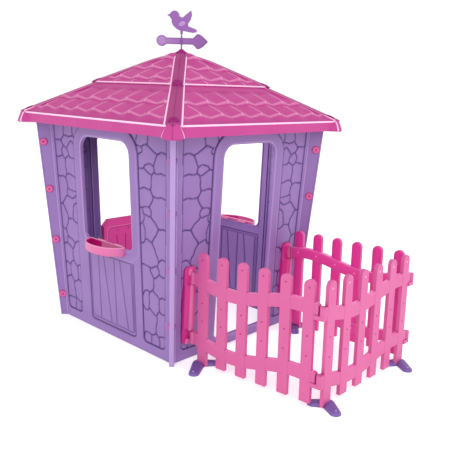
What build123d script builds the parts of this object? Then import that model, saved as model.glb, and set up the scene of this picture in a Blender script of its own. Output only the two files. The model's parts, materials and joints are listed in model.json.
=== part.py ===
from build123d import *
from math import atan2, cos, degrees, pi, radians, sin, sqrt
import os

os.makedirs("parts", exist_ok=True)

# Garden playhouse: four leaning wall panels, a pyramid roof with a weather vane and a hinged picket fence yard.
# Millimetres, +Z up, origin on the ground in the middle of the footprint, doorway side towards -Y.

# House box
house_y = 302.47  # house centre, so that the origin is the middle of the footprint
ground_half_x = 400.0
ground_half_y = 420.0
lean_x = 0.04
lean_y = 0.05
wall_top_z = 1034.0
skin = 4.5
ledge_depth = 20.0
ledge_height = 5.0
seam_gap = 0.1

# Corner fins, where two wall flanges are bolted face to face
fin_top_z = 1010.0
fin_ground_width = 33.0
fin_top_width = 68.0
fin_root = 7.0
flange_thickness = 10.0
near_bolt_heights = (181.0, 437.0, 683.0, 902.0)
other_bolt_heights = (112.0, 402.0, 662.0, 898.0)
bolt_offset_ground = 11.0
bolt_offset_rate = 0.032
bolt_radius = 4.0
bolt_hole_radius = 4.05
bolt_head_radius = 16.0
bolt_head_height = 6.0
cross_slot_length = 14.0
cross_slot_width = 3.0
cross_slot_depth = 2.5
nut_radius = 10.0
nut_height = 7.0

# Openings in the walls
door_half_width = 170.0
door_sill_z = 46.0
window_half_width = 187.0
window_sill_z = 455.0
door_shift = 12.0  # how far a doorway's middle is right of its wall's middle, seen from outside
window_shift = 18.0  # how far a window's middle is towards +Y from its wall's middle
opening_top_z = 948.0
opening_top_radius = 60.0
opening_low_radius = 30.0
architrave_width = 54.0
architrave_height = 6.0
jamb_thickness = 5.0
jamb_inner_depth = 8.0
rib_offset = 42.0
rib_thickness = 4.0
rib_depth = 12.0
rib_low_z = 60.0
rib_high_z = 960.0

# Roof
roof_ratio = 1.07
fascia_low_z = 996.0
eave_z = 1040.0
fascia_low_half = 530.0
eave_half = 537.0
step_half = 272.0
step_low_z = 1196.0
step_high_z = 1204.0
roof_top_z = 1346.0
roof_top_half = 26.0
roof_slope = 0.592
roof_thickness = 5.5
fascia_thickness = 4.0
soffit_hole_half = 424.0
plug_radius = 6.0
plug_head_radius = 9.0
plug_head_height = 3.0
plug_length = 14.0
plug_halves = (288.0, 500.0)

# Roof cap and weather vane
cap_top_z = 1364.0
cap_base_radius = 25.0
cap_top_radius = 7.5
stem_radius = 11.9
stem_hole_radius = 12.0
stem_low_z = 1306.0
rod_radius = 3.5
rod_bore_radius = 3.55
rod_low_z = 1316.0
rod_seat_gap = 0.3
rod_top_z = 1452.0
vane_heading = -47.0
vane_thickness = 5.0
arrow_z = 1404.0
arrow_half_height = 13.0
disc_centre = -95.0
disc_radius = 24.0
head_start = 56.0
head_wide = 80.0
head_half_height = 34.0
head_tip = 124.0
hub_radius = 7.0
hub_half_height = 16.0
bird_boss_low_z = 1438.0
bird_boss_radius = 6.5
bird_body_z = 1486.0

# Flower trays
tray_half_width = 136.0
tray_shift = 20.0  # how far a tray's middle is towards +Y from its wall's middle
tray_reach = 82.0
tray_low_z = 426.0
tray_top_z = 464.0
tray_wall = 4.0
hook_height = 6.0
hook_reach = 20.0

# Half door on the rear doorway
leaf_gap = 6.0
leaf_low_z = 56.0
leaf_top_z = 470.0
leaf_thickness = 18.0
leaf_chamfer = 34.0
leaf_rim = 26.0
leaf_recess = 6.0
hinge_x = -door_shift - door_half_width - 14.0
hinge_out = 14.0
knuckle_radius = 9.0
knuckle_height = 22.0
hinge_pin_radius = 4.0
hinge_bore_radius = 4.06
hinge_levels = (118.0, 384.0)
hinge_gap = 0.4

# Fence
bracket_x = 325.0
hinge_line_y = -466.0
panel_length = 650.0
fence_skew = 5.0
picket_first = 60.0
picket_pitch = 106.0
picket_count = 6
front_picket_first = 44.0  # the front panel's pickets start nearer its corner
front_picket_pitch = 109.2
picket_width = 48.0
picket_back = -8.0
picket_front = 8.0
picket_low_z = 17.0
picket_top_z = 506.0
rail_levels = (118.0, 388.0)
rail_height = 52.0
rail_back = -13.0
rail_front = 7.4
rail_wave = 24.0
rail_phase = 0.08
rail_start = 6.0
rail_end_gap = 17.0
ring_radius = 13.0
pin_radius = 6.0
ring_bore_radius = 6.06
lug_below_rail = 28.0
lug_height = 16.0
ring_top = 24.0
pivot_gap = 0.4
bracket_width = 62.0
bracket_low_z = 82.0
bracket_high_z = 434.0
bracket_plate = 8.0
bracket_web_width = 14.0
bracket_web_reach = 16.0
screw_radius = 3.0
screw_head_radius = 7.0
screw_head_height = 3.0
screw_heights = (190.0, 310.0)
foot_thickness = 14.0
foot_pocket_z = 4.0
foot_lobe_radius = 19.0
foot_lobe_across = 58.0
foot_lobe_shift = 40.0
foot_heel = 36.0
foot_heel_half = 28.0
foot_crotch = 32.0
foot_hole_radius = 3.0


def save(part, label):
    part.label = label
    export_step(part, "parts/" + label + ".step")


def wall_plane(side):
    """Plane on a wall's outer face: x along the wall seen from outside, y up the wall, z outward."""
    if side == "front":
        return Plane((0, house_y - ground_half_y, 0), x_dir=(1, 0, 0), z_dir=(0, -1, -lean_y))
    if side == "rear":
        return Plane((0, house_y + ground_half_y, 0), x_dir=(-1, 0, 0), z_dir=(0, 1, -lean_y))
    if side == "left":
        return Plane((-ground_half_x, house_y, 0), x_dir=(0, -1, 0), z_dir=(-1, 0, -lean_x))
    return Plane((ground_half_x, house_y, 0), x_dir=(0, 1, 0), z_dir=(1, 0, -lean_x))


wall_corners = {
    "front": ((-1, -1), (1, -1)),
    "rear": ((1, 1), (-1, 1)),
    "left": ((-1, 1), (-1, -1)),
    "right": ((1, -1), (1, 1)),
}
wall_half = {"front": ground_half_x, "rear": ground_half_x, "left": ground_half_y, "right": ground_half_y}
wall_lean = {"front": lean_x, "rear": lean_x, "left": lean_y, "right": lean_y}
opening_centre = {"front": door_shift, "rear": door_shift, "left": -window_shift, "right": window_shift}
wall_normal = {"front": (0, -1), "rear": (0, 1), "left": (-1, 0), "right": (1, 0)}


def corner_point(signs, z, outward=0.0):
    """Point on a corner line at height z, moved outward along the diagonal."""
    sx, sy = signs
    diagonal = outward / sqrt(2)
    x = sx * (ground_half_x + lean_x * z + diagonal)
    y = sy * (ground_half_y + lean_y * z + diagonal)
    return Vector(x, house_y + y, z)


def fin_plane(signs, side):
    """Plane of the joint face between two flanges, its normal pointing towards the named wall."""
    low = corner_point(signs, 0)
    rise = corner_point(signs, 1000) - low
    diagonal = Vector(signs[0], signs[1], 0).normalized()
    normal = rise.cross(diagonal).normalized()
    nx, ny = wall_normal[side]
    wall_middle = Vector(nx, ny, 0) - Vector(signs[0], signs[1], 0)
    if normal.dot(wall_middle) < 0:
        normal = -normal
    return Plane(low + normal * seam_gap, x_dir=diagonal, z_dir=normal)


def flat(plane, point):
    local = plane.to_local_coords(point)
    return (local.X, local.Y)


def bolt_levels(signs):
    return near_bolt_heights if signs == (-1, -1) else other_bolt_heights


def bolt_point(signs, z):
    return corner_point(signs, z, bolt_offset_ground + bolt_offset_rate * z)


def opening_sketch(centre, half_width, low_z, grow):
    """Opening outline with large top corners, grown outward by grow."""
    height = opening_top_z - low_z + 2 * grow
    with Locations((centre, (opening_top_z + low_z) / 2)):
        outline = Rectangle(2 * (half_width + grow), height)
    fillet(outline.vertices().group_by(Axis.Y)[-1], opening_top_radius + grow)
    fillet(outline.vertices().group_by(Axis.Y)[0], opening_low_radius + grow)


def make_wall(side, label, half_width, sill_z):
    plane = wall_plane(side)
    half = wall_half[side]
    lean = wall_lean[side]
    centre = opening_centre[side]
    low = -4.0
    high = wall_top_z + 8.0
    with BuildPart() as wall:
        with BuildSketch(plane):
            with BuildLine():
                Polyline(
                    (-half - lean * low, low),
                    (half + lean * low, low),
                    (half + lean * high, high),
                    (-half - lean * high, high),
                    close=True,
                )
            make_face()
        extrude(amount=-skin)
        for edge_z, extra in ((0.0, low), (wall_top_z - ledge_height, high - wall_top_z)):
            with BuildSketch(plane):
                edge_half = half + lean * edge_z
                bottom = edge_z + min(extra, 0.0)
                top = edge_z + ledge_height + max(extra, 0.0)
                with Locations((0, (bottom + top) / 2)):
                    Rectangle(2 * edge_half, top - bottom)
            extrude(amount=-ledge_depth)
        with BuildSketch(plane):
            inner_edge = half_width + rib_offset
            for sign in (-1, 1):
                with Locations((centre + sign * inner_edge, (rib_low_z + rib_high_z) / 2)):
                    Rectangle(rib_thickness, rib_high_z - rib_low_z)
                with Locations((sign * (inner_edge + half) / 2, (rib_low_z + rib_high_z) / 2)):
                    Rectangle(rib_thickness, rib_high_z - rib_low_z)
        extrude(amount=-rib_depth)
        with BuildSketch(plane):
            opening_sketch(centre, half_width, sill_z, architrave_width)
        extrude(amount=architrave_height)
        with BuildSketch(plane):
            opening_sketch(centre, half_width, sill_z, jamb_thickness)
        extrude(amount=-jamb_inner_depth)
        with BuildSketch(plane.offset(-jamb_inner_depth - 10)):
            opening_sketch(centre, half_width, sill_z, 0.0)
        extrude(amount=jamb_inner_depth + 30, mode=Mode.SUBTRACT)
        for signs in wall_corners[side]:
            joint = fin_plane(signs, side)
            outline = [
                flat(joint, corner_point(signs, -2, -fin_root)),
                flat(joint, corner_point(signs, -2, fin_ground_width)),
                flat(joint, corner_point(signs, fin_top_z, fin_top_width)),
                flat(joint, corner_point(signs, fin_top_z, -fin_root)),
            ]
            with BuildSketch(joint):
                with BuildLine():
                    Polyline(*outline, close=True)
                make_face()
            extrude(amount=flange_thickness)
            with BuildSketch(joint):
                for z in bolt_levels(signs):
                    with Locations(flat(joint, bolt_point(signs, z))):
                        Circle(bolt_hole_radius)
            extrude(amount=flange_thickness + 2, mode=Mode.SUBTRACT)
            split(bisect_by=joint, keep=Keep.TOP)
        split(bisect_by=Plane.XY, keep=Keep.TOP)
        split(bisect_by=Plane.XY.offset(wall_top_z), keep=Keep.BOTTOM)
        if side == "front":
            for bracket_side in (-1, 1):
                with BuildSketch(plane.offset(-skin - 2)):
                    for z in screw_heights:
                        with Locations((bracket_side * bracket_x, z)):
                            Circle(screw_radius)
                extrude(amount=skin + 6, mode=Mode.SUBTRACT)
        if side == "rear":
            for level in hinge_levels:
                frame = Plane((hinge_x, hinge_axis_y, level - knuckle_height - hinge_gap))
                with BuildSketch(frame):
                    Circle(knuckle_radius)
                    with Locations((0, -hinge_out)):
                        Rectangle(knuckle_radius, 2 * hinge_out)
                extrude(amount=knuckle_height)
                with BuildSketch(frame.offset(-1)):
                    Circle(hinge_pin_radius)
                extrude(amount=knuckle_height + 2, mode=Mode.SUBTRACT)
    return wall


hinge_axis_y = house_y + ground_half_y + lean_y * hinge_levels[1] + architrave_height + hinge_out

front_wall = make_wall("front", "front_wall", door_half_width, door_sill_z)
save(front_wall.part, "front_wall")
rear_wall = make_wall("rear", "rear_wall", door_half_width, door_sill_z)
save(rear_wall.part, "rear_wall")
left_wall = make_wall("left", "left_wall", window_half_width, window_sill_z)
save(left_wall.part, "left_wall")
right_wall = make_wall("right", "right_wall", window_half_width, window_sill_z)
save(right_wall.part, "right_wall")

# Corner bolts: the heads are on the left and right walls' flanges at the two left corners,
# and on the front and rear walls' flanges at the two right corners.
head_sides = {(-1, -1): "left", (-1, 1): "left", (1, -1): "front", (1, 1): "rear"}
nut_sides = {(-1, -1): "front", (-1, 1): "rear", (1, -1): "right", (1, 1): "right"}

with BuildPart() as corner_bolts:
    for signs, side in head_sides.items():
        joint = fin_plane(signs, side)
        for z in bolt_levels(signs):
            centre = flat(joint, bolt_point(signs, z))
            with BuildSketch(joint.offset(flange_thickness)):
                with Locations(centre):
                    Circle(bolt_head_radius)
            extrude(amount=bolt_head_height)
            with BuildSketch(joint.offset(flange_thickness + bolt_head_height - cross_slot_depth)):
                with Locations(centre):
                    Rectangle(cross_slot_length, cross_slot_width)
                    Rectangle(cross_slot_width, cross_slot_length)
            extrude(amount=cross_slot_depth, mode=Mode.SUBTRACT)
            with BuildSketch(joint.offset(flange_thickness)):
                with Locations(centre):
                    Circle(bolt_radius)
            extrude(amount=-(2 * flange_thickness + 2 * seam_gap + nut_height))
save(corner_bolts.part, "corner_bolts")

with BuildPart() as corner_nuts:
    for signs, side in nut_sides.items():
        joint = fin_plane(signs, side)
        for z in bolt_levels(signs):
            with BuildSketch(joint.offset(flange_thickness + 0.05)):
                with Locations(flat(joint, bolt_point(signs, z))):
                    RegularPolygon(nut_radius, 6)
                    Circle(bolt_hole_radius, mode=Mode.SUBTRACT)
            extrude(amount=nut_height)
save(corner_nuts.part, "corner_nuts")


# Roof panels
def roof_rect(half):
    Rectangle(2 * half, 2 * half * roof_ratio)


def roof_block(low_half, low_z, high_half, high_z, mode=Mode.ADD):
    centre = Plane((0, house_y, 0))
    with BuildSketch(centre.offset(low_z)) as low_face:
        roof_rect(low_half)
    with BuildSketch(centre.offset(high_z)) as high_face:
        roof_rect(high_half)
    loft(sections=[low_face.sketch, high_face.sketch], mode=mode)


def hip_point(signs, half, lift=0.0):
    surface = eave_z + (eave_half - half) * roof_slope
    return (signs[0] * half, house_y + signs[1] * half * roof_ratio, surface + lift)


hip_corners = ((-1, -1), (1, -1), (1, 1), (-1, 1))
roof_keep = {"front": (0, -1), "rear": (0, 1), "left": (-1, 0), "right": (1, 0)}
cavity_drop = roof_thickness / roof_slope


def make_roof_panel(side):
    with BuildPart() as panel:
        roof_block(fascia_low_half, fascia_low_z, eave_half, eave_z)
        lower_top = eave_z + (eave_half - step_half) * roof_slope
        roof_block(eave_half, eave_z, step_half, lower_top)
        roof_block(step_half + 2, step_low_z, step_half + 2, step_high_z)
        roof_block(step_half + 2, step_high_z, roof_top_half, roof_top_z)
        inner = fascia_low_half - fascia_thickness
        roof_block(inner, fascia_low_z - 1, inner, wall_top_z, Mode.SUBTRACT)
        roof_block(soffit_hole_half, wall_top_z - 1, soffit_hole_half, eave_z + 1, Mode.SUBTRACT)
        roof_block(eave_half - cavity_drop, eave_z, step_half - cavity_drop, lower_top, Mode.SUBTRACT)
        cavity_high = roof_top_z - 2 * roof_thickness
        roof_block(step_half - cavity_drop, lower_top, roof_top_half, cavity_high, Mode.SUBTRACT)
        with BuildSketch(Plane((0, house_y, stem_low_z))):
            Circle(stem_hole_radius)
        extrude(amount=roof_top_z, mode=Mode.SUBTRACT)
        for signs in hip_corners:
            for half in plug_halves:
                with BuildSketch(Plane(hip_point(signs, half, -plug_length - 4))):
                    Circle(plug_radius)
                extrude(amount=2 * plug_length, mode=Mode.SUBTRACT)
        kx, ky = roof_keep[side]
        for sign in (-1, 1):
            if kx == 0:
                normal = Vector(sign * roof_ratio, ky, 0)
            else:
                normal = Vector(kx * roof_ratio, sign, 0)
            normal = normal.normalized()
            seam = Plane(Vector(0, house_y, 0) + normal * seam_gap, z_dir=normal)
            split(bisect_by=seam, keep=Keep.TOP)
    return panel


for side in ("front", "rear", "left", "right"):
    save(make_roof_panel(side).part, "roof_" + side)

with BuildPart() as hip_plugs:
    for signs in hip_corners:
        for half in plug_halves:
            with BuildSketch(Plane(hip_point(signs, half, -plug_length))):
                Circle(plug_radius - 0.05)
            extrude(amount=plug_length + 5)
            with BuildSketch(Plane(hip_point(signs, half, 5.5))):
                Circle(plug_head_radius)
            extrude(amount=plug_head_height)
save(hip_plugs.part, "hip_plugs")

centre_line = Plane((0, house_y, 0))
with BuildPart() as roof_cap:
    with BuildSketch(centre_line.offset(stem_low_z)):
        Circle(stem_radius)
    extrude(amount=roof_top_z - stem_low_z)
    with BuildSketch(centre_line.offset(roof_top_z)):
        Circle(cap_base_radius)
    with BuildSketch(centre_line.offset(cap_top_z)):
        Circle(cap_top_radius)
    loft()
    with BuildSketch(centre_line.offset(rod_low_z - rod_seat_gap)):
        Circle(rod_bore_radius)
    extrude(amount=cap_top_z, mode=Mode.SUBTRACT)
save(roof_cap.part, "roof_cap")

# Weather vane
heading = Vector(cos(radians(vane_heading)), sin(radians(vane_heading)), 0)
vane_side = heading.cross(Vector(0, 0, 1))
vane_plane = Plane((0, house_y, 0), x_dir=heading, z_dir=vane_side)

with BuildPart() as vane_rod:
    with BuildSketch(centre_line.offset(rod_low_z)):
        Circle(rod_radius)
    extrude(amount=rod_top_z - rod_low_z)
save(vane_rod.part, "vane_rod")

with BuildPart() as vane_arrow:
    with BuildSketch(vane_plane):
        with Locations(((disc_centre + head_start) / 2, arrow_z)):
            Rectangle(head_start - disc_centre, 2 * arrow_half_height)
        with Locations((disc_centre, arrow_z)):
            Circle(disc_radius)
        with BuildLine():
            Polyline(
                (head_start - 8, arrow_z + arrow_half_height),
                (head_wide, arrow_z + head_half_height),
                (head_tip, arrow_z),
                (head_wide, arrow_z - head_half_height),
                (head_start - 8, arrow_z - arrow_half_height),
                close=True,
            )
        make_face()
    extrude(amount=vane_thickness / 2, both=True)
    with BuildSketch(centre_line.offset(arrow_z - hub_half_height)):
        Circle(hub_radius)
    extrude(amount=2 * hub_half_height)
    with BuildSketch(centre_line.offset(arrow_z - hub_half_height - 1)):
        Circle(rod_radius)
    extrude(amount=2 * hub_half_height + 2, mode=Mode.SUBTRACT)
save(vane_arrow.part, "vane_arrow")

with BuildPart() as vane_bird:
    with BuildSketch(vane_plane):
        with Locations((-8, bird_body_z)):
            Ellipse(44, 30, rotation=-32)
        with Locations((-34, bird_body_z + 36)):
            Circle(23)
        with BuildLine():
            Polyline(
                (-52, bird_body_z + 46),
                (-70, bird_body_z + 37),
                (-52, bird_body_z + 28),
                close=True,
            )
        make_face()
        with BuildLine():
            Polyline(
                (10, bird_body_z - 4),
                (72, bird_body_z - 26),
                (74, bird_body_z - 38),
                (54, bird_body_z - 42),
                (4, bird_body_z - 34),
                close=True,
            )
        make_face()
        with BuildLine():
            Polyline(
                (-12, bird_body_z + 12),
                (18, bird_body_z + 40),
                (46, bird_body_z + 62),
                (50, bird_body_z + 40),
                (42, bird_body_z + 16),
                (22, bird_body_z - 12),
                close=True,
            )
        make_face()
    extrude(amount=vane_thickness / 2, both=True)
    with BuildSketch(centre_line.offset(bird_boss_low_z)):
        Circle(bird_boss_radius)
    extrude(amount=rod_top_z + 6 - bird_boss_low_z)
    with BuildSketch(centre_line.offset(bird_boss_low_z - 1)):
        Circle(rod_radius)
    extrude(amount=rod_top_z - bird_boss_low_z + 1, mode=Mode.SUBTRACT)
save(vane_bird.part, "vane_bird")


# Flower trays, hooked over the window sills
def tray_outline(half_width, reach):
    Ellipse(half_width, reach)
    with Locations((0, reach)):
        Rectangle(4 * half_width, 2 * reach, mode=Mode.SUBTRACT)


for side in ("left", "right"):
    plane = wall_plane(side)
    nx = wall_normal[side][0]
    outer_x = ground_half_x + lean_x * tray_top_z + architrave_height + 0.3
    tray_y = house_y + tray_shift
    flat_plane = Plane((nx * outer_x, tray_y, tray_low_z), x_dir=(0, nx, 0), z_dir=(0, 0, 1))
    with BuildPart() as tray:
        with BuildSketch(flat_plane):
            tray_outline(tray_half_width, tray_reach)
        extrude(amount=tray_top_z - tray_low_z)
        with BuildSketch(flat_plane.offset(tray_wall)):
            with Locations((0, -tray_wall)):
                tray_outline(tray_half_width - 3 * tray_wall, tray_reach - 2 * tray_wall)
        extrude(amount=tray_top_z, mode=Mode.SUBTRACT)
        for hook in (-1, 1):
            with BuildSketch(flat_plane.offset(window_sill_z + 2 - tray_low_z)):
                with Locations((hook * tray_half_width / 2, hook_reach / 2 - 1)):
                    Rectangle(3 * hook_reach, hook_reach + 2)
            extrude(amount=hook_height)
    save(tray.part, side + "_flower_tray")

# Half door
rear_plane = wall_plane("rear")
leaf_half = door_half_width - leaf_gap
with BuildPart() as door_leaf:
    with BuildSketch(rear_plane.offset(-leaf_thickness - 1)):
        with Locations((door_shift, (leaf_low_z + leaf_top_z) / 2)):
            board = Rectangle(2 * leaf_half, leaf_top_z - leaf_low_z)
        chamfer(board.vertices().group_by(Axis.Y)[-1], leaf_chamfer)
        fillet(board.vertices().group_by(Axis.Y)[0], opening_low_radius)
    extrude(amount=leaf_thickness)
    with BuildSketch(rear_plane.offset(-1)):
        with Locations((door_shift, (leaf_low_z + leaf_top_z) / 2)):
            Rectangle(2 * (leaf_half - leaf_rim), leaf_top_z - leaf_low_z - 2 * leaf_rim)
    extrude(amount=-leaf_recess, mode=Mode.SUBTRACT)
    for level in hinge_levels:
        leaf_y = house_y + ground_half_y + lean_y * level - 10
        with BuildSketch(Plane((hinge_x, hinge_axis_y, level))):
            Circle(knuckle_radius)
        extrude(amount=knuckle_height)
        strap_end = -door_shift - leaf_half + 40
        with BuildSketch(Plane((0, 0, level))):
            with BuildLine():
                Polyline(
                    (hinge_x, hinge_axis_y - 4),
                    (strap_end, leaf_y),
                    (strap_end, leaf_y + 8),
                    (hinge_x, hinge_axis_y + 4),
                    close=True,
                )
            make_face()
        extrude(amount=knuckle_height)
        with BuildSketch(Plane((hinge_x, hinge_axis_y, level - 1))):
            Circle(hinge_bore_radius)
        extrude(amount=knuckle_height + 2, mode=Mode.SUBTRACT)
save(door_leaf.part, "door_leaf")

with BuildPart() as door_hinge_pins:
    for level in hinge_levels:
        with BuildSketch(Plane((hinge_x, hinge_axis_y, level - knuckle_height - hinge_gap))):
            Circle(hinge_pin_radius)
        extrude(amount=2 * knuckle_height + 2 * hinge_gap)
        with BuildSketch(Plane((hinge_x, hinge_axis_y, level + knuckle_height + hinge_gap))):
            Circle(hinge_pin_radius + 3)
        extrude(amount=3)
save(door_hinge_pins.part, "door_hinge_pins")

# Fence panels, each seen from outside from its left end to its right end
skew = radians(fence_skew)
near_post = Vector(-bracket_x, house_y + hinge_line_y, 0)
far_post = Vector(bracket_x, house_y + hinge_line_y, 0)
swing = Vector(sin(skew), -cos(skew), 0)
near_corner = near_post + swing * panel_length
far_corner = far_post + swing * panel_length


def panel_plane(start, direction):
    return Plane(start, x_dir=direction, z_dir=direction.cross(Vector(0, 0, 1)))


near_frame = panel_plane(near_post, swing)
front_frame = panel_plane(near_corner, Vector(1, 0, 0))
far_frame = panel_plane(far_corner, -swing)
side_places = [picket_first + picket_pitch * i for i in range(picket_count)]
front_places = [front_picket_first + front_picket_pitch * i for i in range(picket_count)]


def rail_point(s, level, edge):
    turn = 2 * pi * rail_phase
    wave = -rail_wave * (sin(2 * pi * s / panel_length - turn) + sin(turn))
    return (s, level + wave + edge * rail_height / 2)


def rail_edge(level, edge, start, end):
    steps = 12
    return [rail_point(start + (end - start) * i / steps, level, edge) for i in range(steps + 1)]


def upright(frame, s, z):
    """Horizontal plane at distance s along a panel and height z."""
    return Plane(frame.from_local_coords((s, z, 0)), x_dir=frame.x_dir, z_dir=(0, 0, 1))


def make_panel(frame, places, footed):
    with BuildPart() as panel:
        for level in rail_levels:
            end = panel_length - rail_end_gap
            with BuildSketch(frame.offset(rail_back)):
                with BuildLine():
                    top_edge = Spline(*rail_edge(level, 1, rail_start, end))
                    low_edge = Spline(*rail_edge(level, -1, rail_start, end))
                    Line(top_edge @ 0, low_edge @ 0)
                    Line(top_edge @ 1, low_edge @ 1)
                make_face()
            extrude(amount=rail_front - rail_back)
        with BuildSketch(frame.offset(picket_back)):
            for index, place in enumerate(places):
                low = foot_pocket_z + 0.2 if index in footed else picket_low_z
                shoulder = picket_top_z - picket_width / 2
                with Locations((place, (low + shoulder) / 2)):
                    Rectangle(picket_width, shoulder - low)
                with Locations((place, shoulder)):
                    Circle(picket_width / 2)
        extrude(amount=picket_front - picket_back)
        for level in rail_levels:
            lug_z = level - lug_below_rail
            with BuildSketch(upright(frame, 0, lug_z - 4)):
                Circle(ring_radius + 1)
            extrude(amount=lug_height + pivot_gap + 4, mode=Mode.SUBTRACT)
            with BuildSketch(upright(frame, 0, lug_z + lug_height + pivot_gap)):
                Circle(ring_radius)
            extrude(amount=ring_top + lug_below_rail - lug_height - pivot_gap)
            with BuildSketch(upright(frame, 0, lug_z)):
                Circle(ring_bore_radius)
            extrude(amount=rail_height + rail_height, mode=Mode.SUBTRACT)
            with BuildSketch(upright(frame, panel_length, lug_z)):
                Circle(ring_radius)
                with Locations((-rail_end_gap, -6)):
                    Rectangle(2 * rail_end_gap, 12)
            extrude(amount=lug_height)
            with BuildSketch(upright(frame, panel_length, lug_z + lug_height)):
                Circle(pin_radius)
            extrude(amount=ring_top + lug_below_rail - lug_height)
    return panel


near_panel = make_panel(near_frame, side_places, (0,))
save(near_panel.part, "near_fence_panel")
front_panel = make_panel(front_frame, front_places, (0, picket_count - 1))
save(front_panel.part, "front_fence_panel")
far_panel = make_panel(far_frame, side_places, (picket_count - 1,))
save(far_panel.part, "far_fence_panel")

# Wall brackets that carry the fence ends
front_plane = wall_plane("front")
for name, post, with_pins in (("near_bracket", near_post, True), ("far_bracket", far_post, False)):
    with BuildPart() as bracket:
        middle_z = (bracket_low_z + bracket_high_z) / 2
        with BuildSketch(front_plane.offset(0.1)):
            with Locations((post.X, middle_z)):
                RectangleRounded(bracket_width, bracket_high_z - bracket_low_z, bracket_width / 3)
        extrude(amount=bracket_plate)
        with BuildSketch(front_plane.offset(0.1)):
            with Locations((post.X, middle_z)):
                Rectangle(bracket_web_width, bracket_high_z - bracket_low_z - bracket_width)
        extrude(amount=bracket_web_reach - 4)
        for level in rail_levels:
            lug_z = level - lug_below_rail
            if not with_pins:
                lug_z = lug_z + lug_height + pivot_gap
            height = lug_height if with_pins else ring_top + lug_below_rail - lug_height - pivot_gap
            wall_y = house_y - ground_half_y - lean_y * level
            with BuildSketch(Plane((post.X, post.Y, lug_z))):
                Circle(ring_radius)
                with Locations((0, (wall_y - 4 - post.Y) / 2)):
                    Rectangle(2 * ring_radius, wall_y - 4 - post.Y)
            extrude(amount=height)
            if with_pins:
                with BuildSketch(Plane((post.X, post.Y, lug_z + lug_height))):
                    Circle(pin_radius)
                extrude(amount=ring_top + lug_below_rail - lug_height)
            else:
                with BuildSketch(Plane((post.X, post.Y, lug_z - 1))):
                    Circle(ring_bore_radius)
                extrude(amount=height + 2, mode=Mode.SUBTRACT)
        with BuildSketch(front_plane.offset(-1)):
            for z in screw_heights:
                with Locations((post.X, z)):
                    Circle(screw_radius)
        extrude(amount=bracket_plate + bracket_web_reach, mode=Mode.SUBTRACT)
    save(bracket.part, name)

with BuildPart() as bracket_screws:
    for sign in (-1, 1):
        face = bracket_web_reach - 4 + 0.1
        with BuildSketch(front_plane.offset(-skin - 4)):
            for z in screw_heights:
                with Locations((sign * bracket_x, z)):
                    Circle(screw_radius - 0.05)
        extrude(amount=face + skin + 4.5)
        with BuildSketch(front_plane.offset(face + 0.1)):
            for z in screw_heights:
                with Locations((sign * bracket_x, z)):
                    Circle(screw_head_radius)
        extrude(amount=screw_head_height)
save(bracket_screws.part, "bracket_screws")

# Feet under the end pickets; the last number says which way along the panel the lobes point
feet = (
    ("near_foot", near_frame, side_places[0], 1),
    ("front_left_foot", front_frame, front_places[0], -1),
    ("front_right_foot", front_frame, front_places[-1], -1),
    ("far_foot", far_frame, side_places[-1], -1),
)
for name, frame, place, way in feet:
    spot = upright(frame, place, 0)
    lobes = [(way * foot_lobe_shift, side * foot_lobe_across) for side in (-1, 1)]
    with BuildPart() as foot:
        with BuildSketch(spot):
            with Locations(*lobes):
                Circle(foot_lobe_radius)
            for side in (-1, 1):
                with BuildLine():
                    Polyline(
                        (-way * foot_heel, 0),
                        (-way * foot_heel, side * foot_heel_half),
                        (way * (foot_lobe_shift - 10), side * (foot_lobe_across + 16)),
                        (way * (foot_lobe_shift + 15), side * (foot_lobe_across - 11.7)),
                        (way * foot_crotch, 0),
                        close=True,
                    )
                make_face()
        extrude(amount=foot_thickness)
        with BuildSketch(spot.offset(foot_pocket_z)):
            with Locations((0, -(picket_back + picket_front) / 2)):
                Rectangle(picket_width + 0.2, picket_front - picket_back + 0.2)
        extrude(amount=foot_thickness, mode=Mode.SUBTRACT)
        with BuildSketch(spot):
            with Locations(*lobes):
                Circle(foot_hole_radius)
        extrude(amount=foot_thickness, mode=Mode.SUBTRACT)
    save(foot.part, name)
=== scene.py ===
import json
import math

import bpy
import numpy as np
from mathutils import Matrix, Vector


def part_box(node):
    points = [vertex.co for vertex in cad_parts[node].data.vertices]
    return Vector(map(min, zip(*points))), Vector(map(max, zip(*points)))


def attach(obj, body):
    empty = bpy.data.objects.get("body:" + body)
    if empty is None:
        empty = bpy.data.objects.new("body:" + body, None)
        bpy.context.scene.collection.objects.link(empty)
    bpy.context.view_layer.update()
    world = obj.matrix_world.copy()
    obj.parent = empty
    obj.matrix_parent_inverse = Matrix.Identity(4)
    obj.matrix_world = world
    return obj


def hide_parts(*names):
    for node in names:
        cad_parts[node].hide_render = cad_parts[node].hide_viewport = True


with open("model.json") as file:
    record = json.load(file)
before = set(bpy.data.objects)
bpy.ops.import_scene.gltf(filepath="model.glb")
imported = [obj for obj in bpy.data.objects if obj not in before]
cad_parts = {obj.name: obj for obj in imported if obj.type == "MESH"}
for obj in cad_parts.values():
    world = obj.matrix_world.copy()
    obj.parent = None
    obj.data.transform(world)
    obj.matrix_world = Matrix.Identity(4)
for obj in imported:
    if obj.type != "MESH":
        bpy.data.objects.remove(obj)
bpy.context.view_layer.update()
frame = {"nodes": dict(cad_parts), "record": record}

# ------------------------------------------------------------------ driving dimensions, in millimetres
MM = 0.001
UP = np.array([0.0, 0.0, 1.0])
FAR_OFF = 1e9
cap_low, cap_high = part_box("roof_cap")
HOUSE_Y = (cap_low.y + cap_high.y) / 2 / MM

GROUND_HALF_X = 400.0
GROUND_HALF_Y = 420.0
LEAN_X = 0.04
LEAN_Y = 0.05
SKIN = 4.5
GROUND_GAP = 1.0
ROOF_RATIO = 1.07
EAVE_HALF = 537.0
EAVE_Z = 1040.0
FASCIA_LOW_Z = 996.0
STEP_HALF = 272.0
STEP_LOW_Z = 1197.0
LIP_HALF = 296.0
LIP_Z = 1191.4
ROOF_TOP_HALF = 26.0
ROOF_TOP_Z = 1346.0

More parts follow.
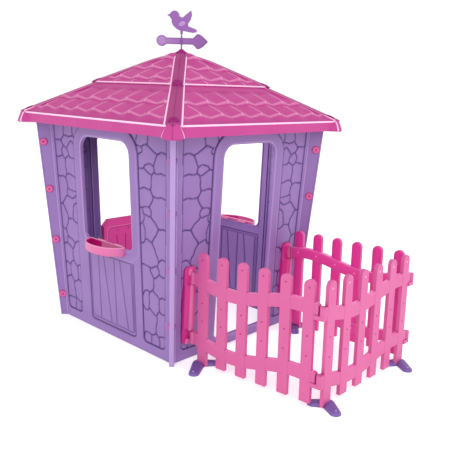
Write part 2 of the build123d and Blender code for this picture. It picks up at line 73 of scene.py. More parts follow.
DOOR_HALF = 170.0
DOOR_SHIFT = 12.0
DOOR_SILL_Z = 46.0
WINDOW_HALF = 187.0
WINDOW_SHIFT = 18.0
WINDOW_SILL_Z = 455.0
OPENING_TOP_Z = 948.0
OPENING_TOP_RADIUS = 60.0
OPENING_LOW_RADIUS = 30.0
ARCHITRAVE = 54.0
REVEAL_DEPTH = 8.0

BRACKET_X = 325.0
HINGE_LINE_Y = -466.0
PANEL_LENGTH = 650.0
FENCE_SKEW = 5.0
PICKET_FIRST = 60.0
PICKET_PITCH = 106.0
PICKET_COUNT = 6
FRONT_PICKET_FIRST = 44.0
FRONT_PICKET_PITCH = 109.2
PICKET_WIDTH = 48.0
PICKET_FACE = 8.0
PICKET_TOP_Z = 506.0
RAIL_LEVELS = (118.0, 388.0)
RAIL_WAVE = 24.0
RAIL_PHASE = 0.08
SIDES = {"front": (0, -1), "rear": (0, 1), "left": (-1, 0), "right": (1, 0)}


# ------------------------------------------------------------------ materials
def srgb(r, g, b):
    """Linear colour from a matched display colour."""
    return tuple(
        ((c / 255.0 + 0.055) / 1.055) ** 2.4 if c > 10 else c / 255.0 / 12.92 for c in (r, g, b)
    ) + (1.0,)


MOTTLE_SCALE = 7.0
SPECK_SCALE = 420.0
GRAIN_STRENGTH = 0.12
GRAIN_DEPTH = 0.0006
CREVICE_REACH = 0.02


def plastic(name, colour, deep, pale, roughness, coat=0.0, gleam=0.45):
    """Moulded plastic: mottled colour, painted shade in grooves and crevices, painted highlights on edges,
    fine grain and uneven gloss.
    """
    mat = bpy.data.materials.new(name)
    mat.use_nodes = True
    tree = mat.node_tree
    colour, deep, pale = srgb(*colour), srgb(*deep), srgb(*pale)

    def fill(node, inputs):
        """Fills a node's inputs with values, or with links from other nodes' outputs."""
        for key, value in inputs.items():
            if isinstance(value, bpy.types.NodeSocket):
                tree.links.new(value, node.inputs[key])
            else:
                node.inputs[key].default_value = value

    def add(kind, output, inputs, **settings):
        node = tree.nodes.new("ShaderNode" + kind)
        for key, value in settings.items():
            setattr(node, key, value)
        fill(node, inputs)
        return node.outputs[output]

    place = add("TexCoord", "Object", {})
    cloud = add("TexNoise", "Fac", {"Vector": place, "Scale": MOTTLE_SCALE, "Detail": 4.0})
    shaded = tuple(c * 0.8 + d * 0.2 for c, d in zip(colour, deep))
    mottle = add("Mix", "Result", {"Factor": cloud, "A": colour, "B": shaded}, data_type="RGBA")
    # The tone attribute paints light and shade: below zero it mixes towards the shade colour, above zero
    # towards the highlight colour.
    tone = add("Attribute", "Fac", {}, attribute_name="tone")
    dark = add("MapRange", "Result", {"Value": tone, "From Min": 0.0, "From Max": -1.0})
    light = add("MapRange", "Result", {"Value": tone})
    # Painted shade in crevices, from ambient occlusion over a short reach.
    shut = add("AmbientOcclusion", "AO", {"Distance": CREVICE_REACH}, samples=4)
    crevice = add("MapRange", "Result", {"Value": shut, "From Min": 0.75, "From Max": 0.25, "To Max": 0.6})
    most = add("Math", "Value", {0: dark, 1: crevice}, operation="MAXIMUM")
    groove = add("Mix", "Result", {"Factor": most, "A": mottle, "B": deep}, data_type="RGBA")
    highlighted = add("Mix", "Result", {"Factor": light, "A": groove, "B": pale}, data_type="RGBA")
    speck = add("TexNoise", "Fac", {"Vector": place, "Scale": SPECK_SCALE, "Detail": 3.0})
    gloss_range = {"To Min": roughness - 0.08, "To Max": roughness + 0.1}
    gloss = add("MapRange", "Result", {"Value": cloud, **gloss_range})
    grain = {"Height": speck, "Strength": GRAIN_STRENGTH, "Distance": GRAIN_DEPTH}
    fill(tree.nodes["Principled BSDF"], {
        "Base Color": highlighted, "Roughness": gloss, "Normal": add("Bump", "Normal", grain),
        "Specular IOR Level": gleam, "Coat Weight": coat, "Coat Roughness": 0.25,
    })
    return mat


PLASTICS_WITH_PAINTED_LIGHT = {
    # slot: colour, painted shade colour for grooves, painted highlight colour for edges, roughness, clear
    # coat, gleam
    "wall_plastic": ((147, 113, 177), (60, 24, 102), (198, 172, 222), 0.46),
    "roof_plastic": ((192, 68, 142), (124, 8, 88), (255, 206, 236), 0.5, 0.0, 0.22),
    "fence_plastic": ((208, 94, 152), (170, 16, 110), (250, 176, 214), 0.42),
    "door_plastic": ((222, 70, 150), (150, 16, 98), (248, 160, 206), 0.44),
    "tray_plastic": ((212, 112, 164), (196, 10, 124), (252, 190, 222), 0.4),
    "foot_plastic": ((120, 92, 166), (66, 40, 104), (206, 196, 226), 0.48),
    "vane_plastic": ((146, 92, 168), (92, 40, 120), (200, 164, 216), 0.38, 0.1),
    "cap_plastic": ((160, 16, 118), (112, 4, 84), (226, 110, 180), 0.5, 0.0, 0.15),
    "bolt_plastic": ((228, 92, 164), (140, 20, 96), (252, 190, 222), 0.4),
}
SLOT_MATERIAL = {slot: plastic(slot, *finish) for slot, finish in PLASTICS_WITH_PAINTED_LIGHT.items()}
# Painted shade: a darker, more saturated copy of the fence plastic for the faces turned into the house and
# the bracket columns.
SHADED_INNER = plastic("fence_inner_shaded_plastic", (222, 48, 146), (176, 10, 112), (250, 150, 206), 0.38)


# ------------------------------------------------------------------ mesh helpers
class Shape:
    """Collects points (millimetres, row frame), faces and a tone per point for one piece."""

    def __init__(self):
        self.points = []
        self.faces = []
        self.tones = []
        self.count = 0

    def add(self, points, faces, tones=0.0):
        points = np.asarray(points, float).reshape(-1, 3)
        self.points.append(points)
        self.faces.extend([tuple(int(i) + self.count for i in f) for f in faces])
        self.tones.append(np.broadcast_to(np.asarray(tones, float), (len(points),)))
        self.count += len(points)

    def add_grid(self, points, tones, keep=None, flip=False):
        """Adds a grid of points (rows, columns, 3), leaving out the cells that aren't kept."""
        rows, columns = points.shape[:2]
        index = np.arange(rows * columns).reshape(rows, columns)
        quads = np.stack([index[:-1, :-1], index[:-1, 1:], index[1:, 1:], index[1:, :-1]], -1)
        quads = quads.reshape(-1, 4) if keep is None else quads[keep]
        if flip:
            quads = quads[:, ::-1]
        used = np.unique(quads)
        renumber = np.full(rows * columns, -1)
        renumber[used] = np.arange(len(used))
        tones = np.broadcast_to(tones, (rows, columns)).reshape(-1)[used]
        self.add(points.reshape(-1, 3)[used], renumber[quads].tolist(), tones)

    def add_rings(self, rings, tones=0.0, closed=False, flip=False, ends=True):
        """Joins rings of points into a tube, open or closed on itself, with flat ends if it has any."""
        rings = np.asarray(rings, float)
        index = np.arange(rings.shape[0] * rings.shape[1]).reshape(rings.shape[:2])
        onward = np.roll(index, -1, 0)
        quads = np.stack([index, np.roll(index, -1, 1), np.roll(onward, -1, 1), onward], -1)
        if flip:
            quads = quads[..., [0, 3, 2, 1]]
        faces = (quads if closed else quads[:-1]).reshape(-1, 4).tolist()
        if ends and not closed:
            faces += [index[0], index[-1, ::-1]] if flip else [index[0, ::-1], index[-1]]
        self.add(rings, faces, np.broadcast_to(tones, index.shape).reshape(-1))

    def build(self, name, slot, body, smooth_angle=32.0, replaces=(), material=None):
        mesh = bpy.data.meshes.new(name)
        mesh.from_pydata((np.concatenate(self.points) * MM).tolist(), [], self.faces)
        tone = mesh.attributes.new("tone", "FLOAT", "POINT")
        tone.data.foreach_set("value", np.concatenate(self.tones).astype(np.float32))
        mesh.materials.append(material or SLOT_MATERIAL[slot])
        mesh.update()
        obj = bpy.data.objects.new(name, mesh)
        bpy.context.scene.collection.objects.link(obj)
        mesh.shade_smooth()
        if smooth_angle:
            mesh.set_sharp_from_angle(angle=math.radians(smooth_angle))
        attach(obj, body)
        if replaces:
            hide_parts(*replaces)


def unit(v):
    v = np.asarray(v, float)
    return v / np.linalg.norm(v)


def on_axes(origin, way, face, s, w, z):
    """Points s along way, w along face and z up from an origin."""
    s, w, z = (np.asarray(a, float)[..., None] for a in np.broadcast_arrays(s, w, z))
    return origin + s * way + w * face + z * UP


def add_turned(shape, centre, axis, profile, segments=24, tones=0.0):
    """A turned form: profile is (radius, height along axis) from bottom to top, closed at both ends."""
    axis = unit(axis)
    helper = UP if abs(axis[2]) < 0.9 else np.array([1.0, 0.0, 0.0])
    a = unit(np.cross(helper, axis))
    b = np.cross(axis, a)
    angles = np.arange(segments) * 2 * math.pi / segments
    circle = np.cos(angles)[:, None] * a + np.sin(angles)[:, None] * b
    rings = [np.asarray(centre, float) + circle * radius + axis * height for radius, height in profile]
    shape.add_rings(rings, np.asarray(tones, float)[..., None])


def add_bar(shape, start, end, radius, tones=0.0):
    """A round bar with domed ends from start to end."""
    start, end = np.asarray(start, float), np.asarray(end, float)
    length = np.linalg.norm(end - start)
    dome = ((radius * 0.35, radius * 0.9), (radius * 0.8, radius * 0.5), (radius, 0.0))
    profile = [(r, -h) for r, h in dome] + [(r, length + h) for r, h in reversed(dome)]
    add_turned(shape, start, end - start, profile, 10, tones)


def add_tube(shape, points, radius, tones=0.0, sides=8, closed=False):
    """A round tube along a line of points."""
    points = np.asarray(points, float)
    way = np.roll(points, -1, 0) - np.roll(points, 1, 0) if closed else np.gradient(points, axis=0)
    way /= np.linalg.norm(way, axis=1)[:, None]
    flat = unit(np.cross(points[1] - points[0], points[len(points) // 2] - points[0]))
    side = np.cross(way, flat)
    turns = (np.arange(sides) * 2 * math.pi / sides)[None, :, None]
    rings = points[:, None] + radius * (np.cos(turns) * flat + np.sin(turns) * side[:, None])
    shape.add_rings(rings, np.asarray(tones, float)[..., None], closed)


def rounded_outline(centre, half, low, high, top_radius, low_radius, steps=10):
    """Points and outward normals round an opening outline, in plane coordinates."""
    points, normals = [], []
    corners = (
        (centre + half - top_radius, high - top_radius, top_radius, 0),
        (centre - half + top_radius, high - top_radius, top_radius, 90),
        (centre - half + low_radius, low + low_radius, low_radius, 180),
        (centre + half - low_radius, low + low_radius, low_radius, 270),
    )
    for x, y, radius, start in corners:
        for i in range(steps + 1):
            turn = math.radians(start + 90 * i / steps)
            normals.append((math.cos(turn), math.sin(turn)))
            points.append((x + radius * math.cos(turn), y + radius * math.sin(turn)))
    return points, np.array(normals)


def rounded_box(x, y, half_x, half_y, top_radius, low_radius):
    """Signed distance to a rectangle with rounded corners, negative inside."""
    radius = np.where(y > 0, top_radius, low_radius)
    qx = np.abs(x) - half_x + radius
    qy = np.abs(y) - half_y + radius
    return np.minimum(np.maximum(qx, qy), 0) + np.hypot(np.maximum(qx, 0), np.maximum(qy, 0)) - radius


def smooth(low, high, x):
    t = np.clip((x - low) / (high - low), 0, 1)
    return t * t * (3 - 2 * t)


# ------------------------------------------------------------------ wall panels
class Wall:
    """One leaning wall: places points from (along the wall, height, distance off its outer face)."""

    def __init__(self, side):
        self.side = side
        self.door = door = side in ("front", "rear")
        self.lean, self.spread = (LEAN_Y, LEAN_X) if door else (LEAN_X, LEAN_Y)
        self.half, reach = (GROUND_HALF_X, GROUND_HALF_Y) if door else (GROUND_HALF_Y, GROUND_HALF_X)
        self.opening_half = DOOR_HALF if door else WINDOW_HALF
        self.sill = DOOR_SILL_Z if door else WINDOW_SILL_Z
        self.centre = DOOR_SHIFT if door else WINDOW_SHIFT * (-1 if side == "left" else 1)
        out = SIDES[side]
        self.origin = np.array([out[0] * reach, HOUSE_Y + out[1] * reach, 0.0])
        self.u = np.array([-out[1], out[0], 0.0])
        self.n = unit((out[0], out[1], -self.lean))
        self.v = np.cross(self.n, self.u)
        self.stretch = math.sqrt(1 + self.lean ** 2)

    def half_at(self, z):
        return self.half + self.spread * z

    def place(self, u, z, h):
        rise = np.asarray(z, float) * self.stretch
        return (
            self.origin + np.asarray(u, float)[..., None] * self.u
            + rise[..., None] * self.v + np.asarray(h, float)[..., None] * self.n
        )


# Stones as (distance from the wall's corner, height, half width, half height). The first field lies next to
# the near and far-right corners, the second next to the other two.
STONES_A = (
    (282, 968, 40, 24), (206, 964, 38, 24), (102, 955, 58, 36), (226, 920, 30, 17), (177, 895, 63, 47),
    (85, 875, 41, 41), (159, 854, 33, 23), (193, 798, 48, 39), (94, 779, 48, 49), (187, 716, 46, 41),
    (98, 661, 50, 68), (169, 660, 28, 21), (216, 632, 19, 34), (152, 589, 56, 53), (203, 560, 23, 45),
    (88, 525, 41, 65), (158, 470, 55, 57), (69, 421, 23, 35), (115, 397, 30, 23), (171, 357, 39, 56),
    (85, 330, 39, 52), (171, 255, 18, 44), (121, 254, 36, 48), (66, 249, 19, 38), (147, 154, 42, 54),
    (74, 153, 32, 56), (156, 76, 19, 25), (112, 71, 29, 31), (63, 71, 21, 34),
)
STONES_B = (
    (55, 950, 54, 37), (151, 957, 36, 28), (225, 962, 33, 22), (142, 920, 44, 31), (44, 872, 47, 44),
    (111, 858, 29, 23), (164, 880, 26, 51), (53, 783, 55, 51), (146, 797, 37, 43), (52, 662, 52, 72),
    (139, 708, 29, 47), (129, 660, 32, 24), (107, 587, 54, 60), (44, 530, 45, 67), (158, 557, 29, 45),
    (123, 469, 51, 64), (36, 430, 31, 41), (97, 402, 36, 25), (60, 340, 47, 50), (143, 357, 35, 62),
    (44, 254, 28, 35), (104, 255, 33, 47), (154, 255, 19, 41), (61, 159, 34, 55), (137, 162, 38, 51),
    (63, 81, 32, 29), (118, 76, 24, 31), (157, 76, 17, 31),
)
FIELD_LOW_Z = 45.0
FIELD_CORNER = 26.0
FIELD_INSET_A = 40.0
FIELD_INSET_B = 26.0
BAND_LEVEL = 7.0
STONE_LEVEL = 3.1
STONE_DOME = 0.9
GROOVE_LEVEL = 0.5
PLANK_LEVEL = 4.4
PLANK_GROOVE_LEVEL = GROOVE_LEVEL + 0.8


def stone_joints(edge, z, stones, spacing):
    """Distance in mm to the nearest joint between stones, on a grid of the given spacing."""
    warp_e = edge + 3.0 * np.sin(z / 23.0) + 1.6 * np.sin(z / 9.0 + edge / 14.0)
    warp_z = z + 3.0 * np.sin(edge / 19.0 + 1.0) + 1.6 * np.sin(edge / 8.0 - z / 15.0)
    near = np.full(edge.shape, FAR_OFF)
    second = np.full(edge.shape, FAR_OFF)
    third = np.full(edge.shape, FAR_OFF)
    for ce, cz, he, hz in stones:
        rho = np.hypot((warp_e - ce) / he, (warp_z - cz) / hz)
        third = np.minimum(third, np.maximum(rho, second))
        second = np.minimum(second, np.maximum(rho, near))
        near = np.minimum(near, rho)
    gap = second - near
    rise, run = spacing
    slope = np.hypot(np.gradient(gap, axis=0) / rise, np.gradient(gap, axis=1) / run)
    widened = 3.2 * np.exp(-9.0 * (third - near))
    return gap / np.maximum(slope, 0.004) - widened


PLANK_JOINTS = ((-151, -155), (-66, -112), (-21, -24), (61, 18), (104, 103))
PANEL_MIDDLE_Y = 4.0
PANEL_HALF = 180.0
PANEL_LOW_Z = 45.0
PANEL_HIGH_Z = 412.0
ARCH_LOW_Z = -300.0
ARCH_MARGIN = 3.0


def plank_lines(y, z):
    """Distance to the nearest plank joint; alternate joints lean."""
    nearest = np.full(y.shape, FAR_OFF)
    for top, low in PLANK_JOINTS:
        at = low + (top - low) * (z - 78.0) / 310.0
        nearest = np.minimum(nearest, np.abs(y - at))
    return nearest


def stone_field(wall, u, z, first):
    """Signed distance to a field of stones, negative inside; first marks the points of the first field."""
    arch_top = OPENING_TOP_Z + ARCHITRAVE
    arch = rounded_box(
        u - wall.centre, z - (arch_top + ARCH_LOW_Z) / 2, wall.opening_half + ARCHITRAVE,
        (arch_top - ARCH_LOW_Z) / 2, OPENING_TOP_RADIUS + ARCHITRAVE, 10.0,
    )
    across = np.abs(u) - (wall.half_at(z) - np.where(first, FIELD_INSET_A, FIELD_INSET_B))
    field = np.maximum(across, ARCH_MARGIN - arch)
    dz = np.maximum(FIELD_LOW_Z + FIELD_CORNER - z, 0)
    for dx in (np.maximum(across + FIELD_CORNER, 0), np.maximum(FIELD_CORNER + ARCH_MARGIN - arch, 0)):
        rounded = np.where((dx > 0) & (dz > 0), np.hypot(dx, dz) - FIELD_CORNER, -FAR_OFF)
        field = np.maximum(field, rounded)
    return np.maximum(field, FIELD_LOW_Z - z)


def stone_relief(wall, u, z, spacing):
    """Height and tone of the stones, their grooves and the plain bands round them; the tone paints shade in
    the grooves and a highlight along the edge of the bands.
    """
    first = (u < 0) == (wall.side in ("front", "right"))
    field = stone_field(wall, u, z, first)
    edge = wall.half_at(z) - np.abs(u)
    joints = np.where(first, *(stone_joints(edge, z, stones, spacing) for stones in (STONES_A, STONES_B)))
    joint_groove = 1 - smooth(1.6, 5.4, joints)
    border_groove = 1 - smooth(1.2, 5.8, np.abs(field + 3.4))
    inside = field < -1.0
    groove = np.where(inside, np.maximum(joint_groove, border_groove), 0.0)
    dome = STONE_DOME * smooth(3.0, 16.0, np.minimum(joints, -field))
    level = np.where(inside, STONE_LEVEL + dome, BAND_LEVEL)
    level = level + (BAND_LEVEL - level) * smooth(-3.0, 1.0, field)
    # Painted shade in the grooves, painted highlight along the rising edge of the plain band.
    tone = -groove + 0.22 * (1 - smooth(0.0, 3.0, np.abs(field - 2.0)))
    return level + (GROOVE_LEVEL - level) * groove, tone


def plank_relief(wall, u, z, bold):
    """Height and tone of the plank panel under a window, and which points lie on it; the tone paints shade
    in its grooves.
    """
    y = u if wall.side == "right" else -u
    panel_y = y - PANEL_MIDDLE_Y
    panel_z = z - (PANEL_LOW_Z + PANEL_HIGH_Z) / 2
    half_z = (PANEL_HIGH_Z - PANEL_LOW_Z) / 2
    panel = rounded_box(panel_y, panel_z, PANEL_HALF, half_z, 12.0, 22.0)
    inner = rounded_box(panel_y, panel_z - 2, PANEL_HALF - 13.0, half_z - 17.0, 8.0, 14.0)
    frame_groove = 1 - smooth(1.0, 5.4, np.abs(panel + 3.0))
    inner_groove = 1 - smooth(0.6, 4.0, np.abs(inner + 1.0))
    planks = np.where(inner < -6.0, 1 - smooth(0.6 * bold, 4.0 * bold, plank_lines(y, z)), 0.0)
    lines = np.maximum(np.maximum(frame_groove, 0.8 * inner_groove), 0.9 * planks)
    level = np.where(panel < 0, PLANK_LEVEL, BAND_LEVEL)
    return level + (PLANK_GROOVE_LEVEL - level) * lines, -lines, panel < 2.0


def wall_relief(wall, u, z, spacing, bold=1.0):
    """Height of the relief and its tone, at points of the wall; bold widens the plank joints."""
    height, tone = stone_relief(wall, u, z, spacing)
    if wall.door:
        return height, tone
    plank_height, plank_tone, here = plank_relief(wall, u, z, bold)
    return np.where(here, plank_height, height), np.where(here, plank_tone, tone)


RELIEF_LOW_Z = 2.0
RELIEF_RISE = 1028.0
CORNER_STRIP = 60.0
CORNER_GAP = 5.0


def wall_grid(wall, step):
    """Rows of points over a wall, whose outer columns follow its leaning corners."""
    heights = np.linspace(RELIEF_LOW_Z, RELIEF_LOW_Z + RELIEF_RISE, int(RELIEF_RISE / step) + 1)
    inner = wall.half - CORNER_STRIP
    fixed = np.linspace(-inner, inner, int(2 * inner / step))
    ramp = np.linspace(0, 1, int((CORNER_STRIP + 12.0) / step) + 2)[1:]
    right = inner + ramp * (wall.half_at(heights)[:, None] - CORNER_GAP - inner)
    u = np.concatenate([-right[:, ::-1], np.tile(fixed, (len(heights), 1)), right], 1)
    z = np.repeat(heights[:, None], u.shape[1], axis=1)
    return u, z, (RELIEF_RISE / (len(heights) - 1), 2 * inner / (len(fixed) - 1))


def off_opening(wall, u, z, gap):
    """Which cells of a grid lie further than gap from the wall's opening."""
    u, z = (u[:-1, :-1] + u[1:, 1:]) / 2, (z[:-1, :-1] + z[1:, 1:]) / 2
    return rounded_box(
        u - wall.centre, z - (OPENING_TOP_Z + wall.sill) / 2, wall.opening_half,
        (OPENING_TOP_Z - wall.sill) / 2, OPENING_TOP_RADIUS, OPENING_LOW_RADIUS,
    ) > gap


LINING_SHADE = {"front": -0.5, "rear": -0.62, "left": -0.5, "right": -0.12}
ARCHITRAVE_RIM = ARCHITRAVE + 0.8
ARCHITRAVE_PROFILE = (
    # distance out from the opening's edge, height off the wall, tone: painted highlight on the rounded
    # edges, painted shade at the outer foot
    (-0.5, -REVEAL_DEPTH - 0.6, 0.0), (-0.5, 2.5, 0.0), (0.3, 5.2, 0.25), (2.2, 7.2, 0.45),
    (5.5, 8.2, 0.25), (12.0, 8.6, 0.0), (ARCHITRAVE_RIM - 13.0, 8.6, 0.0),
    (ARCHITRAVE_RIM - 7.0, 8.2, 0.1), (ARCHITRAVE_RIM - 3.0, 7.2, 0.2), (ARCHITRAVE_RIM - 0.6, 5.4, 0.0),
    (ARCHITRAVE_RIM, 2.0, -0.5), (ARCHITRAVE_RIM, 0.2, -0.7), (5.6, 0.2, 0.0),
    (5.6, -REVEAL_DEPTH - 0.6, 0.0),
)


def make_architrave(wall):
    """Rounded moulding round the opening, swept round its outline and kept off the ground."""
    path, normals = rounded_outline(
        wall.centre, wall.opening_half, wall.sill, OPENING_TOP_Z, OPENING_TOP_RADIUS, OPENING_LOW_RADIUS
    )
    profile = np.array(ARCHITRAVE_PROFILE)
    path = np.array([(a, b * wall.stretch) for a, b in path])
    base = wall.origin + path[:, :1] * wall.u + path[:, 1:] * wall.v
    sideways = normals[:, :1] * wall.u + normals[:, 1:] * wall.v
    points = base[:, None] + profile[None, :, :1] * sideways[:, None] + profile[None, :, 1:2] * wall.n
    points[..., 2] = np.maximum(points[..., 2], GROUND_GAP)
    ring = Shape()
    ring.add_rings(points, profile[:, 2], closed=True, flip=True)
    ring.build(wall.side + "_wall_architrave", "wall_plastic", "house")


def make_wall_relief(side):
    wall = Wall(side)
    outer = Shape()
    u, z, spacing = wall_grid(wall, 3.0)
    height, tone = wall_relief(wall, u, z, spacing)
    outer.add_grid(wall.place(u, z, height), tone, off_opening(wall, u, z, 12.0))
    outer.build(side + "_wall_stonework", "wall_plastic", "house", smooth_angle=0)

    inner = Shape()
    u, z, spacing = wall_grid(wall, 4.0)
    ridge = np.clip(-wall_relief(wall, u, z, spacing, bold=1.8)[1], 0, 1)
    # Painted shade: the lining is darkened by a set amount for each wall, and darker still along the ridges
    # behind the outer grooves.
    shade = LINING_SHADE[side]
    points = wall.place(u, z, -(SKIN + 0.4 + 2.6 * ridge))
    inner.add_grid(points, shade - (0.95 + shade) * ridge, off_opening(wall, u, z, 9.0), flip=True)
    inner.build(side + "_wall_lining", "wall_plastic", "house", smooth_angle=0)
    make_architrave(wall)


for side in SIDES:
    make_wall_relief(side)


# ------------------------------------------------------------------ roof
HIP_BAND_TOP = 30.0
HIP_BAND_LOW = 37.0
TILE_PITCH = 121.0
TILE_EDGE_GAP = 22.0
FLAT_LEVEL = 9.0
CREST_RISE = 17.0
COURSE_EDGE = 0.85
VALLEY_LEVEL = 1.0
VALLEY_RISE = 4.5
GUTTER_LEVEL = 4.0
# (half width, height) of the low and high edges, then shares of the way down: where the plain band ends,
# where each course of tiles ends, and where the ramp to the gutter ends
TIERS = {
    "lower": ((EAVE_HALF, EAVE_Z), (STEP_HALF, STEP_LOW_Z), 0.17, (0.235, 0.55, 0.865), 0.955),
    "upper": ((LIP_HALF, LIP_Z), (ROOF_TOP_HALF, ROOF_TOP_Z), -0.2, (-0.07, 0.243, 0.556, 0.869, 1.18), 2.0),
}
# distance from the crest as a share of the pitch, finer near the crest
CREST_STEPS = (0.0, 0.012, 0.03, 0.06, 0.1, 0.15, 0.21, 0.28, 0.36, 0.44)
COURSE_STEPS = (
    # share of the course, tone added: painted shade at the top of the course, painted highlight on the step
    # face at its foot
    (0.006, -0.5), (0.03, -0.25), (0.1, 0.0), (0.2, 0.0), (0.3, 0.0), (0.4, 0.0), (0.5, 0.0), (0.6, 0.0),
    (0.7, 0.0), (0.8, 0.0), (0.845, 0.0), (0.872, 0.18), (0.9, 0.22), (0.93, 0.22), (0.96, 0.16),
    (0.994, 0.0),
)


class Tier:
    """One tier of one roof side: places points from (distance along the eave, share of the way down)."""

    def __init__(self, side, tier):
        (self.low_half, self.low_z), (self.high_half, self.high_z) = TIERS[tier][:2]
        self.out = np.array(SIDES[side] + (0,), float)
        self.along = np.array([-self.out[1], self.out[0], 0.0])
        self.run_stretch, self.along_stretch = (1.0, ROOF_RATIO) if self.out[0] else (ROOF_RATIO, 1.0)
        run = (self.low_half - self.high_half) * self.run_stretch
        rise = self.high_z - self.low_z
        self.normal = unit(self.out * rise + np.array([0, 0, run]))
        spread = (self.low_half - self.high_half) * self.along_stretch
        length = math.hypot(run, rise)
        self.slant = math.hypot(spread, length) / length

    def half_at(self, down):
        return self.high_half + (self.low_half - self.high_half) * down

    def reach(self, down):
        return self.half_at(down) * self.along_stretch

    def base(self, u, down):
        z = self.high_z + (self.low_z - self.high_z) * down
        return on_axes(
            np.array([0, HOUSE_Y, 0]), self.out, self.along, self.half_at(down) * self.run_stretch, u, z
        )


def tile_rows(tier):
    """Rows down the slope as (share of the way down, course number, share of the course, tone added)."""
    plain_end, ends, gutter = TIERS[tier][2:]
    last = len(ends)
    rows = []
    if plain_end > 0:
        rows += [(0.0, -1, 0.0, 0.0), (plain_end, -1, 0.0, 0.0)]
        rows += [(plain_end + (ends[0] - plain_end) * k / 6, -1, k / 6, 0.0) for k in range(1, 6)]
    for number, (start, end) in enumerate(zip(ends, ends[1:])):
        rows += [(start + (end - start) * share, number, share, tone) for share, tone in COURSE_STEPS]
    if gutter < 1:
        # Gutter rows: a faint painted highlight fading down the ramp, then painted shade at the gutter's
        # edge.
        for k in range(1, 7):
            rows.append((ends[-1] + (gutter - ends[-1]) * k / 6, last, k / 6, 0.1 * (1 - k / 6)))
        return rows + [(0.985, last, 1.0, 0.0), (0.992, last, 1.0, -0.5), (1.0, last, 1.0, -0.4)]
    inside = [r for r in rows if 0.0 <= r[0] <= 1.0]
    tail = [r for r in rows if r[0] > 1.0][0]
    inside += [(place,) + tail[1:3] + (0.0,) for place in (0.97, 0.985, 1.0, 1.0)]
    return sorted(inside, key=lambda row: row[0])


def tile_row(place, wave, crest_highlight, last):
    """Height and tone along one row of tiles, from the wave across it and the painted highlight line on each
    crest; the tone paints shade in the valleys and towards the top of each course, and a highlight on the
    step faces.
    """
    _, number, share, extra = place
    crest, valley = FLAT_LEVEL + CREST_RISE * share, VALLEY_LEVEL + VALLEY_RISE * share
    if number == -1:
        height = FLAT_LEVEL + (VALLEY_LEVEL + (FLAT_LEVEL - VALLEY_LEVEL) * wave - FLAT_LEVEL) * share
        return height, -0.14 - 0.3 * share * (1 - wave)
    if number == last:
        top = VALLEY_LEVEL + VALLEY_RISE
        top = top + (FLAT_LEVEL + CREST_RISE - top) * wave
        height = top + (GUTTER_LEVEL - top) * share ** 0.8
        return height, extra - 0.22 + 0.15 * wave * (1 - share)
    height = valley + (crest - valley) * wave ** 0.9
    drop = max(0.0, (share - COURSE_EDGE) / (1 - COURSE_EDGE))
    height = height - 0.62 * drop ** 1.4 * (height - VALLEY_LEVEL)
    shade = -0.52 - 0.42 * (1 - share) - 0.22 * (1 - wave)
    tone = shade * (share < COURSE_EDGE + 0.02) + extra
    return height, np.maximum(tone, 0.62 * crest_highlight * min(1.0, 4 * share + 0.2) * (share < 0.99))


def make_tiles(shape, side, tier):
    t = Tier(side, tier)
    pitch = TILE_PITCH * t.along_stretch
    steps = list(CREST_STEPS) + [0.5] + [1 - c for c in reversed(CREST_STEPS[1:])]
    periods = int(t.reach(1.0) / pitch) + 2
    columns = np.array([(k + c) * pitch for k in range(-periods, periods) for c in steps])
    rows = tile_rows(tier)
    down = np.array([r[0] for r in rows])[:, None]
    limit = t.reach(down) - TILE_EDGE_GAP * t.slant
    u = np.clip(columns[None, :], -limit, limit)
    over = np.abs(columns)[None, :] >= limit
    clamped = over[:-1, :-1] & over[:-1, 1:] & over[1:, :-1] & over[1:, 1:]
    keep = ~(clamped & (np.sign(columns[:-1]) == np.sign(columns[1:]))[None, :])
    phase = u / pitch
    crest_gap = np.abs(phase - np.round(phase))
    wave = 0.7 * (1 - 2 * crest_gap) + 0.3 * (1 - np.sin(np.pi * crest_gap))
    # Painted highlight: a pale line along each crest.
    crest_highlight = np.clip(1 - crest_gap * pitch / 3.4, 0, 1)
    last = len(TIERS[tier][3])
    relief = [tile_row(row, wave[i], crest_highlight[i], last) for i, row in enumerate(rows)]
    height = np.array([r[0] for r in relief])
    tone = np.array([r[1] for r in relief])
    height = 7.0 + (height - 7.0) * smooth(0.0, 30.0, limit - np.abs(u))
    if tier == "upper":
        height = height + (7.5 - height) * smooth(0.955, 0.985, down)
        height[-1] = -2.0
    shape.add_grid(t.base(u, down) + t.normal * height[..., None], tone, keep)


HIP_PROFILE = (
    # share of the band's width, height, tone: painted shade on the seam and the band, painted highlight on
    # the bead
    (0.0, 7.6, -1.0), (0.035, 9.0, -0.75), (0.07, 9.6, -0.5), (0.7, 9.8, -0.5), (0.76, 10.6, 0.3),
    (0.81, 12.6, 1.0), (0.87, 13.4, 1.0), (0.93, 12.6, 1.0), (0.98, 10.0, 0.4), (1.0, 0.6, -0.5),
)
HIP_EDGE_DROP = -6.0
# Painted highlight on the beads of hips other than the front-left one: weak, and stronger near the eave on
# the lower tier.
FAR_BEAD_HIGHLIGHT = 0.2
FAR_BEAD_FOOT_HIGHLIGHT = 0.7


